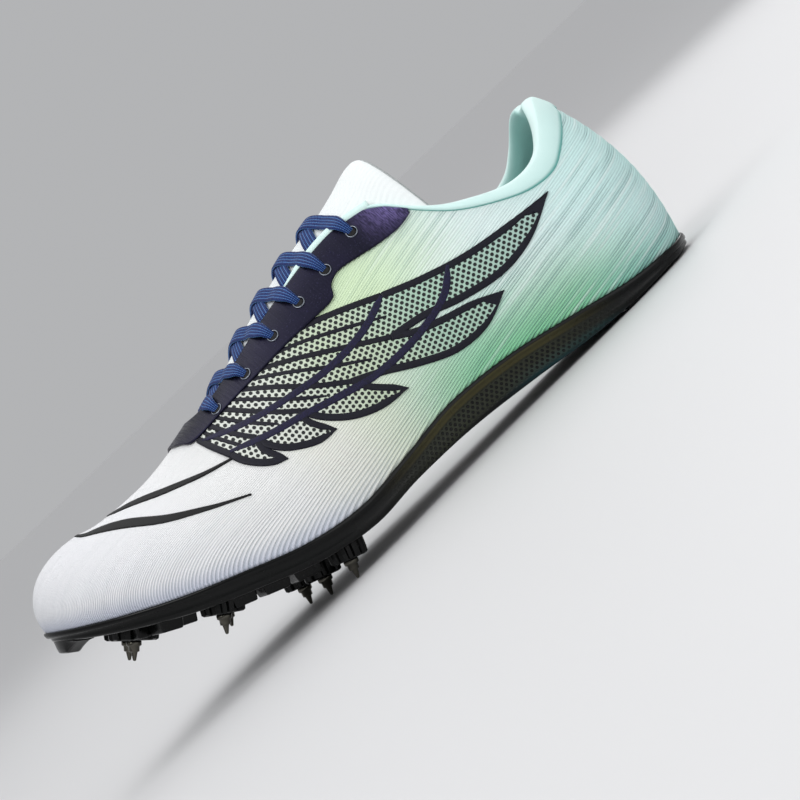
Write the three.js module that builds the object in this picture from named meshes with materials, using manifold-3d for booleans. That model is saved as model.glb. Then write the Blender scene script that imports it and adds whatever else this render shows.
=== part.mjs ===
// A left running spike for the track: knitted upper, stiff plate with seven screw-in spikes, flat laces.
// Millimetres, +X to the toe, +Y to the lateral side, +Z up. The origin is the middle of the heel's flat
// resting face, on the floor plane that the heel and the tips of the three rear spikes share.
import * as THREE from 'three';
import { mergeVertices } from 'three/addons/utils/BufferGeometryUtils.js';
import Module from 'manifold-3d';

const wasm = await Module();
wasm.setup();

// Driving dimensions of the whole shoe
const LENGTH = 261; // feather line, from the back of the heel to the tip of the toe
const HEEL_SET = 23; // from the back of the feather line to the origin
const BALL_WIDTH = 86; // feather line across the ball of the foot
const HEEL_WIDTH = 59; // feather line across the heel
const INSTEP_HEIGHT = 100; // crest of the last at the top of the throat
const COLLAR_HEIGHT = 75; // topline at the back of the heel
const ARCH_RISE = 9.5; // underside of the plate above the heel's pad, at the arch
const TOE_SPRING = 54; // underside of the plate at the toe
const GAP = 0.3; // clearance between pieces that touch

// Upper, insole, tongue and collar
const UPPER_WALL = 1.8;
const INSOLE_THICKNESS = 2.5;
const TONGUE_THICKNESS = 3.2;
const THROAT_WIDTH = 32;
const ROLL_WIDTH = 6.2;
const ROLL_RISE = 4.2; // over the edge of the knit
const ROLL_HANG = 6; // below it, on the inside
const ROLL_PROUD = 0.7; // how far the roll stands out past the skin
const ROLL_HEEL_RISE = 2.4;
const ROLL_HEEL_WIDTH = 8.5;
const ROLL_HEEL_HANG = 9;
const ROLL_SINK = 0.06; // how far the hanging part leans in, for each millimetre of its length
const ROLL_LIFTS = 2.9; // section where the hanging part starts to shorten
const ROLL_THINS = 3.9; // section where the roll starts to thin out to a piping
const ROLL_THIN = 4.7; // section from where it is a piping
const ROLL_END = 5; // section where it ends
const ROLL_STEPS = 17; // rings on either side

// Plate
const SOLE_THICKNESS = 6;
const PAD_THICKNESS = 1;
const PAD_LENGTH = 38;
const PAD_INSET = 2.6;
const RIM = 1.1; // how far the plate's rim stands out past the upper
const RIM_HEIGHT = 1.7;
const RIM_STEP = 0.8;
const EDGE_BEVEL = 1.8;
const LUG_HEIGHT = 3.4;

// Spikes
const SPIKE_LENGTH = 7;
const SPIKE_RADIUS = 2.7;
const STUD_RADIUS = 1.9;
const STUD_LENGTH = 2.6;
const TIP_RADIUS = 0.6;
const BOSS_HEIGHT = 3.7;
const BOSS_TEETH = 10;

// Eyestay, eyelets and laces
const EYESTAY_THICKNESS = 0.8;
const EYELET_RADIUS = 3;
const EYELET_BORE = 1.7;
const EYELET_FLANGE = 0.6;
const EYELET_SHANK = 2.2;
const LACE_WIDTH = 6;
const LACE_THICKNESS = 1.2;

// Sections of the last, one row for each, from the back of the heel to the tip of the toe.
// along: place of the feather line, a share of LENGTH. fore: 0 where widths follow HEEL_WIDTH, 1 where they
// follow BALL_WIDTH. lateral, medial: half widths as shares of that width. arch, spring: rise of the plate's
// underside as shares of ARCH_RISE and TOE_SPRING. thick: plate at its edge, a share of SOLE_THICKNESS.
// crestAlong, crestAside, crest: the ridge over the section, as shares of LENGTH, BALL_WIDTH and
// INSTEP_HEIGHT. square: exponent of the section's curve. belly: bulge of the wall, a share of the width.
const columns = [
  'along', 'fore', 'lateral', 'medial', 'arch', 'spring', 'thick',
  'crestAlong', 'crestAside', 'crest', 'square', 'belly',
];
const sections = [
  [0, 0, 0, 0, 0, 0, 0.66, 0.107, 0, 0.94, 2.8, 0.093],
  [0.0115, 0, 0.215, 0.215, 0, 0, 0.68, 0.115, 0, 0.96, 2.8, 0.091],
  [0.0464, 0, 0.4, 0.4, 0, 0, 0.72, 0.138, 0, 1, 2.8, 0.088],
  [0.1207, 0, 0.5, 0.5, 0, 0, 1.08, 0.169, 0, 1.04, 2.8, 0.086],
  [0.2069, 0.05, 0.51, 0.48, 0.15, 0, 1.7, 0.222, 0, 1.075, 2.5, 0.07],
  [0.3103, 0.33, 0.46, 0.39, 0.55, 0, 2.03, 0.31, 0, 1.03, 2.2, 0.045],
  [0.4138, 0.66, 0.43, 0.33, 0.87, 0, 1.95, 0.414, -0.012, 0.982, 2.1, 0.035],
  [0.5134, 1, 0.44, 0.35, 0.97, 0, 1.42, 0.513, -0.025, 0.912, 2.05, 0.035],
  [0.5977, 1, 0.495, 0.425, 0.8, 0.016, 1.34, 0.598, -0.045, 0.835, 2.05, 0.035],
  [0.682, 1, 0.515, 0.478, 0.45, 0.152, 1.3, 0.674, -0.07, 0.775, 2.1, 0.03],
  [0.7663, 1, 0.492, 0.492, 0.15, 0.353, 1.3, 0.751, -0.093, 0.738, 2.2, 0.025],
  [0.8429, 1, 0.428, 0.47, 0, 0.533, 1.25, 0.812, -0.11, 0.737, 2.3, 0.02],
  [0.9119, 1, 0.325, 0.412, 0, 0.709, 1.12, 0.854, -0.117, 0.748, 2.3, 0.015],
  [0.9617, 1, 0.19, 0.322, 0, 0.86, 0.965, 0.881, -0.117, 0.768, 2.2, 0.01],
  [0.9904, 1, 0.05, 0.21, 0, 0.965, 0.8, 0.91, -0.112, 0.776, 2.1, 0.005],
  [1, 1, -0.087, 0.087, 0, 1, 0.77, 0.927, -0.105, 0.77, 2, 0],
].map((row) => Object.fromEntries(columns.map((name, i) => [name, row[i]])));
const LAST = sections.length - 1;

// Topline where the knit ends under the collar roll, seen from the side.
// along: share of LENGTH from the back of the feather line. height: share of COLLAR_HEIGHT.
const topline = [
  { along: -0.06, height: 0.955 },
  { along: 0.008, height: 0.955 },
  { along: 0.02, height: 0.985 },
  { along: 0.032, height: 0.965 },
  { along: 0.047, height: 0.915 },
  { along: 0.066, height: 0.85 },
  { along: 0.09, height: 0.785 },
  { along: 0.12, height: 0.757 },
  { along: 0.155, height: 0.77 },
  { along: 0.195, height: 0.83 },
  { along: 0.23, height: 0.91 },
  { along: 0.262, height: 1.025 },
  { along: 0.29, height: 1.145 },
  { along: 0.325, height: 1.225 },
  { along: 0.37, height: 1.28 },
];

// Edge of the throat, seen from above. along: share of LENGTH. half: share of THROAT_WIDTH on either side.
const throat = [
  { along: 0.27, half: 0.68 },
  { along: 0.33, half: 0.56 },
  { along: 0.38, half: 0.5 },
  { along: 0.5, half: 0.505 },
  { along: 0.6, half: 0.49 },
  { along: 0.645, half: 0.4 },
  { along: 0.665, half: 0.22 },
  { along: 0.67, half: 0 },
];

// Lower edge of the eyestay, seen from the side. height: share of INSTEP_HEIGHT.
const eyestayEdge = [
  { along: 0.24, height: 0.81 },
  { along: 0.27, height: 0.778 },
  { along: 0.296, height: 0.766 },
  { along: 0.33, height: 0.774 },
  { along: 0.362, height: 0.79 },
  { along: 0.392, height: 0.802 },
  { along: 0.413, height: 0.785 },
  { along: 0.426, height: 0.747 },
  { along: 0.46, height: 0.742 },
  { along: 0.51, height: 0.743 },
  { along: 0.56, height: 0.737 },
  { along: 0.62, height: 0.73 },
  { along: 0.684, height: 0.719 },
  { along: 0.7, height: 0.742 },
  { along: 0.713, height: 0.767 },
  { along: 0.72, height: 0.82 },
];

// Tongue, seen from above. half: share of THROAT_WIDTH on either side of the crest.
const tongueEdge = [
  { along: 0.2, half: 0.6 },
  { along: 0.28, half: 0.6 },
  { along: 0.36, half: 0.61 },
  { along: 0.5, half: 0.62 },
  { along: 0.64, half: 0.57 },
  { along: 0.69, half: 0.36 },
  { along: 0.7, half: 0 },
];
// Its end over the instep is cut straight, from high over the crest to low at the sides.
const tongueEnd = [
  { along: 0.238, height: 0.76 },
  { along: 0.262, height: 1.04 },
];

// Rows of eyelets, from the collar to the toe. aside: share of BALL_WIDTH, from the crest to either side.
const eyelets = [
  { along: 0.342, aside: 0.24 },
  { along: 0.404, aside: 0.257 },
  { along: 0.46, aside: 0.264 },
  { along: 0.516, aside: 0.272 },
  { along: 0.577, aside: 0.277 },
  { along: 0.636, aside: 0.265 },
];

// Spikes. along, aside: the tip's place as shares of LENGTH and BALL_WIDTH. lean: tilt of the tip to the
// toe, in degrees. boss: radius of the boss in millimetres. rests: the tip stands on the floor plane, so the
// boss takes up what is left.
const spikes = [
  { along: 0.663, aside: 0.395, lean: 20, boss: 6.8, rests: true },
  { along: 0.693, aside: 0.093, lean: 20, boss: 6.8, rests: true },
  { along: 0.709, aside: -0.302, lean: 20, boss: 6.8, rests: true },
  { along: 0.836, aside: 0.33, lean: 34, boss: 7.6, rests: false },
  { along: 0.809, aside: -0.3, lean: 30, boss: 7.6, rests: false },
  { along: 0.944, aside: 0.13, lean: 42, boss: 8.6, rests: false },
  { along: 0.944, aside: -0.17, lean: 42, boss: 8.6, rests: false },
];

// Lugs of the forefoot. along, aside: shares of LENGTH and BALL_WIDTH. long, wide: in millimetres.
// turn: in degrees.
const lugs = [
  { along: 0.63, aside: 0.05, long: 7, wide: 12, turn: 0 },
  { along: 0.72, aside: 0.34, long: 9, wide: 10, turn: 14 },
  { along: 0.74, aside: -0.1, long: 7, wide: 12, turn: 0 },
  { along: 0.78, aside: 0.12, long: 7, wide: 14, turn: 0 },
  { along: 0.79, aside: -0.36, long: 9, wide: 9, turn: -14 },
  { along: 0.85, aside: 0, long: 7, wide: 14, turn: 0 },
  { along: 0.885, aside: 0.25, long: 8, wide: 8, turn: 25 },
  { along: 0.905, aside: -0.31, long: 8, wide: 8, turn: -20 },
  { along: 0.991, aside: -0.11, long: 6, wide: 15, turn: -8 },
];

// Curves through the tables

const up = new THREE.Vector3(0, 0, 1);
const alongX = (share) => share * LENGTH - HEEL_SET;

// The largest value between two ends up to which a test holds
function lastThat(holds, low, high) {
  const middle = (low + high) / 2;
  if (high - low < 1e-7) return middle;
  return holds(middle) ? lastThat(holds, middle, high) : lastThat(holds, low, middle);
}

function spline(pick, s, count) {
  const i = Math.max(0, Math.min(Math.floor(s), count - 1));
  const f = s - i;
  const [a, b, c, d] = [pick(i - 1), pick(i), pick(i + 1), pick(i + 2)];
  const linear = (c - a) * f;
  const square = (2 * a - 5 * b + 4 * c - d) * f * f;
  const cubic = (3 * b - a - 3 * c + d) * f * f * f;
  return (2 * b + linear + square + cubic) / 2;
}

// Past either end of the shoe the rows run back along the other side.
const folded = (i) => (i < 0 ? -i : i > LAST ? 2 * LAST - i : i);
const column = (name) => (i) => sections[folded(i)][name];
const value = (name, s) => spline(column(name), s, LAST);
const widthAt = (i) => THREE.MathUtils.lerp(HEEL_WIDTH, BALL_WIDTH, sections[i].fore);

function halfWidth(side) {
  return (i) => {
    const row = folded(i);
    const own = side > 0 ? sections[row].lateral : -sections[row].medial;
    const other = side > 0 ? -sections[row].medial : sections[row].lateral;
    return widthAt(row) * (i < 0 || i > LAST ? other : own);
  };
}

const underside = (s) => PAD_THICKNESS + ARCH_RISE * value('arch', s) + TOE_SPRING * value('spring', s);
const featherHeight = (s) => underside(s) + SOLE_THICKNESS * value('thick', s);

function feather(s, side) {
  return new THREE.Vector3(alongX(value('along', s)), spline(halfWidth(side), s, LAST), featherHeight(s));
}

function crest(s) {
  const x = alongX(value('crestAlong', s));
  return new THREE.Vector3(x, BALL_WIDTH * value('crestAside', s), INSTEP_HEIGHT * value('crest', s));
}

// Outward direction of the outline, seen from above
function outward(s, side) {
  const step = 0.02;
  const before = feather(Math.max(s - step, 0), side);
  const after = feather(Math.min(s + step, LAST), side);
  const run = after.sub(before).setZ(0).normalize();
  if (s === 0) return new THREE.Vector3(-1, 0, 0);
  if (s === LAST) return new THREE.Vector3(1, 0, 0);
  return new THREE.Vector3(-run.y, run.x, 0).multiplyScalar(side);
}

// A point of the last's skin: v runs from 0 at the feather line to 1 at the crest.
function skin(s, side, v) {
  const low = feather(s, side);
  const high = crest(s);
  const angle = (v * Math.PI) / 2;
  const power = 2 / value('square', s);
  const rise = Math.sin(angle) ** power;
  const reach = Math.max(Math.cos(angle), 0) ** power;
  const width = THREE.MathUtils.lerp(HEEL_WIDTH, BALL_WIDTH, value('fore', s));
  const bulge = width * value('belly', s) * Math.max(Math.sin(Math.PI * rise ** 0.75), 0) ** 1.3;
  const point = new THREE.Vector3(
    high.x + (low.x - high.x) * reach,
    high.y + (low.y - high.y) * reach,
    low.z + (high.z - low.z) * rise,
  );
  return point.addScaledVector(outward(s, side), bulge);
}

// Meshes and solids

function meshGeometry(points, triangles) {
  const geometry = new THREE.BufferGeometry();
  geometry.setAttribute('position', new THREE.Float32BufferAttribute(points.flatMap((p) => p.toArray()), 3));
  geometry.setIndex(triangles.flat());
  return geometry;
}

function solid(geometry) {
  const bare = geometry.clone();
  bare.deleteAttribute('normal');
  bare.deleteAttribute('uv');
  const merged = mergeVertices(bare, 1e-4);
  const vertProperties = new Float32Array(merged.attributes.position.array);
  const triVerts = new Uint32Array(merged.index.array);
  return new wasm.Manifold(new wasm.Mesh({ numProp: 3, vertProperties, triVerts }));
}

function placed(geometry, matrix) {
  return solid(geometry.clone().applyMatrix4(matrix));
}

function geometryOf(body) {
  const mesh = body.getMesh();
  const geometry = new THREE.BufferGeometry();
  const positions = new Float32Array(mesh.vertProperties);
  geometry.setAttribute('position', new THREE.BufferAttribute(positions, 3));
  geometry.setIndex(new THREE.BufferAttribute(new Uint32Array(mesh.triVerts), 1));
  return geometry;
}

// A closed tube of equal rings, with a fan on either end
function loft(rings) {
  const count = rings[0].length;
  const points = rings.flat();
  const triangles = [];
  for (let i = 0; i < rings.length - 1; i++) {
    for (let k = 0; k < count; k++) {
      const [a, b] = [i * count + k, i * count + ((k + 1) % count)];
      triangles.push([a, b, b + count], [a, b + count, a + count]);
    }
  }
  const end = (rings.length - 1) * count;
  for (let k = 1; k < count - 1; k++) {
    triangles.push([0, k + 1, k], [end, end + k, end + k + 1]);
  }
  return meshGeometry(points, triangles);
}

// Around the shoe: lateral side from heel to toe, then the medial side back to the heel
const AROUND = 26; // steps along each side
const OVER = 8; // steps from the feather line to the crest
const stations = Array.from({ length: 2 * AROUND }, (_, j) => {
  const s = (LAST * (j <= AROUND ? j : 2 * AROUND - j)) / AROUND;
  return { s, side: j <= AROUND ? 1 : -1 };
});
const across = (j) => (2 * AROUND - j) % (2 * AROUND);

// Triangles that join the lateral and the medial half of one ring
function capTriangles(first, facingUp) {
  const triangles = [];
  for (let j = 0; j < AROUND; j++) {
    const [a, b] = [first + j, first + j + 1];
    const [c, d] = [first + across(j + 1), first + across(j)];
    if (b !== c) triangles.push(facingUp ? [a, c, b] : [a, b, c]);
    if (a !== d) triangles.push(facingUp ? [a, d, c] : [a, c, d]);
  }
  return triangles;
}

function wallTriangles(lower, upper) {
  return stations.flatMap((_, j) => {
    const k = (j + 1) % stations.length;
    return [
      [lower + j, upper + j, upper + k],
      [lower + j, upper + k, lower + k],
    ];
  });
}

// A slab under the foot: rings from the top edge to the bottom edge, each so far outside the feather line
function slab(rings) {
  const points = rings.flatMap(({ out, height }) =>
    stations.map(({ s, side }) => feather(s, side).addScaledVector(outward(s, side), out).setZ(height(s))),
  );
  const triangles = capTriangles(0, true);
  rings.slice(1).forEach((_, i) => {
    triangles.push(...wallTriangles((i + 1) * stations.length, i * stations.length));
  });
  triangles.push(...capTriangles((rings.length - 1) * stations.length, false));
  return meshGeometry(points, triangles);
}

// The last as a closed form, grown by an offset. Its lowest ring hangs a drop under the feather line.
function lastForm(offset, drop) {
  const points = [];
  const count = stations.length;
  for (let k = 0; k < OVER; k++) {
    points.push(...stations.map(({ s, side }) => skin(s, side, k / OVER)));
  }
  const top = points.length;
  for (let j = 0; j <= AROUND; j++) {
    points.push(crest(stations[j].s));
  }
  const walls = [];
  for (let k = 0; k < OVER - 1; k++) {
    walls.push(...wallTriangles(k * count, (k + 1) * count));
  }
  for (let j = 0; j < count; j++) {
    const k = (j + 1) % count;
    const [a, b] = [(OVER - 1) * count + j, (OVER - 1) * count + k];
    const [c, d] = [top + Math.min(k, across(k) || k), top + Math.min(j, across(j) || j)];
    walls.push([a, d, c], [a, c, b]);
  }
  const skinMesh = meshGeometry(points, walls);
  skinMesh.computeVertexNormals();
  const normals = skinMesh.attributes.normal;
  points.forEach((point, i) => {
    point.addScaledVector(new THREE.Vector3().fromBufferAttribute(normals, i), offset);
  });
  if (drop === 0) return meshGeometry(points, [...walls, ...capTriangles(0, false)]);
  const foot = points.length;
  for (let j = 0; j < count; j++) {
    points.push(points[j].clone().setZ(featherHeight(stations[j].s) - drop));
  }
  return meshGeometry(points, [...walls, ...wallTriangles(foot, 0), ...capTriangles(foot, false)]);
}

// Outlines and cutters

function curveThrough(pairs, steps) {
  const points = pairs.map(([x, y]) => new THREE.Vector2(x, y));
  return new THREE.SplineCurve(points).getPoints(steps);
}

const SKY = 200; // above every piece
const PRISM_FOOT = 0.52; // lowest height that an outline seen from above reaches, a share of INSTEP_HEIGHT
const crestAt = (x) => crest(lastThat((s) => crest(s).x < x, 0, LAST)).y;

// An upright prism over an outline that is given from the crest to either side
function planPrism(rows, lateral, medial, grow, steps) {
  const edge = (side, share) => {
    const pairs = rows.map((row) => [alongX(row.along), crestAt(alongX(row.along)) + side * share(row)]);
    return curveThrough(pairs, steps);
  };
  const left = edge(1, (row) => lateral(row) + (lateral(row) > 0 ? grow : 0));
  const right = edge(-1, (row) => medial(row) + (medial(row) > 0 ? grow : 0));
  left[left.length - 1].x += grow;
  const outline = [...left, ...right.reverse().slice(1)];
  const shape = new THREE.Shape(outline.reverse());
  const geometry = new THREE.ExtrudeGeometry(shape, { depth: SKY, bevelEnabled: false });
  return solid(geometry.translate(0, 0, PRISM_FOOT * INSTEP_HEIGHT));
}

// A prism across the shoe over an outline that is seen from the side
function sidePrism(points) {
  const shape = new THREE.Shape(points.map(([x, z]) => new THREE.Vector2(x, z)));
  const geometry = new THREE.ExtrudeGeometry(shape, { depth: 2 * BALL_WIDTH, bevelEnabled: false });
  return solid(geometry.rotateX(Math.PI / 2).translate(0, BALL_WIDTH, 0));
}

const toplinePoints = curveThrough(
  topline.map((row) => [alongX(row.along), row.height * COLLAR_HEIGHT]),
  24,
).map((point) => [point.x, point.y]);

function aboveTopline(lift) {
  const lifted = toplinePoints.map(([x, z]) => [x, z + lift]);
  const front = lifted[lifted.length - 1][0];
  return sidePrism([...lifted, [front, SKY], [lifted[0][0], SKY]]);
}

const throatHalf = (row) => row.half * THROAT_WIDTH;
const throatPrism = (grow) => planPrism(throat, throatHalf, throatHalf, grow, 14);

// The skin over a place that is seen from above, with its normal
const skinMesh = new THREE.Mesh(lastForm(0, 1));
skinMesh.geometry.computeVertexNormals();
function onSkin(x, y) {
  const ray = new THREE.Raycaster(new THREE.Vector3(x, y, SKY), up.clone().negate());
  const hit = ray.intersectObject(skinMesh)[0];
  return { point: hit.point, normal: hit.face.normal.clone() };
}

// Height and slope of the plate's underside at a place along the shoe
function undersideAt(x) {
  const s = lastThat((place) => alongX(value('along', place)) < x, 0, LAST);
  const step = 0.05;
  const [before, after] = [s - step, Math.min(s + step, LAST)];
  const run = alongX(value('along', after)) - alongX(value('along', before));
  return { z: underside(s), slope: Math.atan2(underside(after) - underside(before), run) };
}

// Pieces

const form = solid(lastForm(0, 0));
const cavity = solid(lastForm(-UPPER_WALL, 2 * UPPER_WALL));
const overForm = solid(lastForm(GAP, 0));
const eyestayForm = solid(lastForm(GAP + EYESTAY_THICKNESS, 0));
const tongueTop = -UPPER_WALL - GAP;
const tongueForm = solid(lastForm(tongueTop, 0));
const tongueLining = solid(lastForm(tongueTop - TONGUE_THICKNESS, 2 * UPPER_WALL));

// Where each eyelet sits on the skin
const eyeletPlaces = eyelets.flatMap((row, i) =>
  [1, -1].map((side) => {
    const x = alongX(row.along);
    const y = crestAt(x) + side * row.aside * BALL_WIDTH;
    return { name: `eyelet_${side > 0 ? 'lateral' : 'medial'}_${i + 1}`, row: i, side, ...onSkin(x, y) };
  }),
);

function frameAt(point, normal) {
  const turn = new THREE.Quaternion().setFromUnitVectors(up, normal);
  return new THREE.Matrix4().compose(point, turn, new THREE.Vector3(1, 1, 1));
}

const eyeletHoles = () => {
  const drill = new THREE.CylinderGeometry(EYELET_SHANK + GAP, EYELET_SHANK + GAP, 6 * UPPER_WALL, 8);
  drill.rotateX(Math.PI / 2);
  return eyeletPlaces.map(({ point, normal }) => placed(drill, frameAt(point, normal)));
};

function makeUpper() {
  let body = form.subtract(cavity).subtract(aboveTopline(ROLL_RISE / 2)).subtract(rollRoom());
  body = body.subtract(throatPrism(0));
  for (const hole of eyeletHoles()) {
    body = body.subtract(hole);
  }
  return body;
}

function makeEyestay() {
  const edge = curveThrough(eyestayEdge.map((row) => [alongX(row.along), row.height * INSTEP_HEIGHT]), 34);
  const outline = edge.map((point) => [point.x, point.y]);
  const span = sidePrism([...outline, [outline[outline.length - 1][0], SKY], [outline[0][0], SKY]]);
  let body = eyestayForm.subtract(overForm).intersect(span);
  body = body.subtract(throatPrism(2 * GAP)).subtract(aboveTopline(-ROLL_PROUD));
  for (const hole of eyeletHoles()) {
    body = body.subtract(hole);
  }
  return body;
}

function makeTongue() {
  const half = (row) => row.half * THROAT_WIDTH;
  const span = planPrism(tongueEdge, half, half, 0, 18);
  const [low, high] = tongueEnd.map((row) => [alongX(row.along), row.height * INSTEP_HEIGHT]);
  const slope = (high[0] - low[0]) / (high[1] - low[1]);
  const behind = sidePrism([
    [-LENGTH, 0],
    [low[0] - slope * low[1], 0],
    [high[0] + slope * (SKY - high[1]), SKY],
    [-LENGTH, SKY],
  ]);
  return tongueForm.subtract(tongueLining).intersect(span).subtract(behind);
}

function makeInsole() {
  const inset = -UPPER_WALL - 2 * GAP;
  return solid(slab([
    { out: inset, height: (s) => featherHeight(s) + INSOLE_THICKNESS },
    { out: inset, height: (s) => featherHeight(s) },
  ]));
}

function lugMatrix({ along, aside, turn }) {
  const x = alongX(along);
  const { z, slope } = undersideAt(x);
  const place = new THREE.Matrix4().makeTranslation(x, aside * BALL_WIDTH, z);
  const tilt = new THREE.Matrix4().makeRotationY(-slope);
  const spin = new THREE.Matrix4().makeRotationZ(THREE.MathUtils.degToRad(turn));
  return place.multiply(tilt).multiply(spin);
}

function lugGeometry({ long, wide }) {
  const sunk = 2;
  const block = new THREE.CylinderGeometry(Math.SQRT1_2, Math.SQRT1_2 * 0.82, LUG_HEIGHT + sunk, 4);
  block.rotateX(Math.PI / 2).rotateZ(Math.PI / 4);
  return block.scale(long, wide, 1).translate(0, 0, (sunk - LUG_HEIGHT) / 2);
}

// A spike's frame has its origin at the seat, where the pin leaves the boss, and z runs up into the boss.
function spikeSeat({ along, aside, lean, rests }) {
  const angle = THREE.MathUtils.degToRad(lean);
  const axis = new THREE.Vector3(-Math.sin(angle), 0, Math.cos(angle));
  const tip = new THREE.Vector3(alongX(along), aside * BALL_WIDTH, TIP_RADIUS * Math.sin(angle));
  if (!rests) {
    const foot = alongX(along) - (SPIKE_LENGTH + BOSS_HEIGHT) * Math.sin(angle);
    tip.z = undersideAt(foot).z - (SPIKE_LENGTH + BOSS_HEIGHT) * axis.z;
  }
  return { seat: tip.addScaledVector(axis, SPIKE_LENGTH), axis };
}

function bossGeometry({ boss }) {
  const points = Array.from({ length: 2 * BOSS_TEETH }, (_, i) => {
    const angle = (Math.PI * i) / BOSS_TEETH;
    const radius = boss * (i % 2 ? 0.84 : 1);
    return new THREE.Vector2(radius * Math.cos(angle), radius * Math.sin(angle));
  });
  const depth = BOSS_HEIGHT + 2 * SOLE_THICKNESS;
  return new THREE.ExtrudeGeometry(new THREE.Shape(points), { depth, bevelEnabled: false });
}

function boreGeometry() {
  const depth = STUD_LENGTH + GAP;
  const bore = new THREE.CylinderGeometry(STUD_RADIUS + GAP, STUD_RADIUS + GAP, 2 * depth, 10);
  return bore.rotateX(Math.PI / 2);
}

function makeOutsole() {
  const top = (s) => featherHeight(s) - GAP;
  let body = solid(slab([
    { out: RIM, height: top },
    { out: RIM, height: (s) => top(s) - RIM_HEIGHT },
    { out: RIM - RIM_STEP, height: (s) => top(s) - RIM_HEIGHT - 0.2 },
    { out: RIM - RIM_STEP, height: (s) => THREE.MathUtils.lerp(underside(s), top(s), 0.25) },
    { out: RIM - RIM_STEP - EDGE_BEVEL, height: underside },
  ]));
  const pad = solid(slab([
    { out: -PAD_INSET, height: (s) => underside(s) + 1 },
    { out: -PAD_INSET, height: () => 0 },
  ]));
  const [padBack, padFront] = [alongX(0), alongX(0) + PAD_LENGTH];
  const span = sidePrism([[padBack, 0], [padFront, 0], [padFront, SKY], [padBack, SKY]]);
  body = body.add(pad.intersect(span));
  for (const lug of lugs) {
    body = body.add(placed(lugGeometry(lug), lugMatrix(lug)));
  }
  const foot = solid(slab([
    { out: RIM - RIM_STEP, height: top },
    { out: RIM - RIM_STEP, height: () => -SKY },
  ]));
  for (const spike of spikes) {
    const { seat, axis } = spikeSeat(spike);
    body = body.add(placed(bossGeometry(spike), frameAt(seat, axis)).intersect(foot));
  }
  for (const spike of spikes) {
    const { seat, axis } = spikeSeat(spike);
    body = body.subtract(placed(boreGeometry(), frameAt(seat, axis)));
  }
  return body;
}

function spikeGeometry() {
  const profile = [
    [0, -SPIKE_LENGTH],
    [TIP_RADIUS, -SPIKE_LENGTH],
    [SPIKE_RADIUS * 0.45, -SPIKE_LENGTH * 0.55],
    [SPIKE_RADIUS * 0.7, -SPIKE_LENGTH * 0.5],
    [SPIKE_RADIUS, -GAP - 0.8],
    [SPIKE_RADIUS, -GAP],
    [STUD_RADIUS, -GAP],
    [STUD_RADIUS, STUD_LENGTH],
    [0, STUD_LENGTH],
  ].map(([radius, height]) => new THREE.Vector2(radius, height));
  return new THREE.LatheGeometry(profile, 8).rotateX(Math.PI / 2);
}

function eyeletGeometry() {
  const seat = 2 * GAP + EYESTAY_THICKNESS;
  const profile = [
    [EYELET_BORE, seat + EYELET_FLANGE],
    [EYELET_BORE, -UPPER_WALL],
    [EYELET_SHANK, -UPPER_WALL],
    [EYELET_SHANK, seat],
    [EYELET_RADIUS, seat],
    [EYELET_RADIUS, seat + EYELET_FLANGE],
    [EYELET_BORE, seat + EYELET_FLANGE],
  ].map(([radius, height]) => new THREE.Vector2(radius, height));
  return new THREE.LatheGeometry(profile, 8).rotateX(Math.PI / 2);
}

// Where the topline crosses the profile at a station: the share v of the way up
function toplineShare(s, side) {
  const below = (v) => {
    const point = skin(s, side, v);
    return point.z < toplineHeight(point.x);
  };
  return lastThat(below, 0, 1);
}

function toplineHeight(x) {
  const after = toplinePoints.findIndex((point) => point[0] > x);
  if (after === 0) return toplinePoints[0][1];
  if (after < 0) return toplinePoints[toplinePoints.length - 1][1];
  const [[x0, z0], [x1, z1]] = [toplinePoints[after - 1], toplinePoints[after]];
  return z0 + ((z1 - z0) * (x - x0)) / (x1 - x0);
}

// Section of the collar roll, as pairs: out from the skin, up from the edge of the knit. Its first corner is
// the inner one, over the knit, so that a fan from it closes the ends.
function rollSection(s) {
  const thin = THREE.MathUtils.smoothstep(s, ROLL_THINS, ROLL_THIN);
  const lifted = THREE.MathUtils.smoothstep(s, ROLL_LIFTS, ROLL_THINS);
  const fromHeel = THREE.MathUtils.smoothstep(s, 0.5, 3);
  const width = THREE.MathUtils.lerp(ROLL_HEEL_WIDTH, ROLL_WIDTH, fromHeel);
  const full = THREE.MathUtils.lerp(ROLL_HEEL_RISE, ROLL_RISE, fromHeel);
  const long = THREE.MathUtils.lerp(ROLL_HEEL_HANG, ROLL_HANG, fromHeel);
  const rise = THREE.MathUtils.lerp(full, 1.2 * UPPER_WALL, thin);
  const deep = THREE.MathUtils.lerp(width - ROLL_PROUD, UPPER_WALL, thin);
  const hang = THREE.MathUtils.lerp(long, -1.6 * GAP, lifted);
  const inner = THREE.MathUtils.lerp(UPPER_WALL + 3 * GAP, 0.7 * UPPER_WALL, thin);
  const sink = ROLL_SINK * Math.max(hang, 0);
  return [
    [-inner, GAP],
    [ROLL_PROUD, GAP],
    [ROLL_PROUD, 0.62 * rise],
    [0.1 * ROLL_PROUD, 0.93 * rise],
    [-0.5 * deep, rise],
    [-0.9 * deep, 0.7 * rise],
    [-deep, -0.4 * hang],
    [-0.8 * deep - 0.2 * inner - sink, -hang],
    [-inner - sink, -0.8 * hang],
  ];
}

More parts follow.
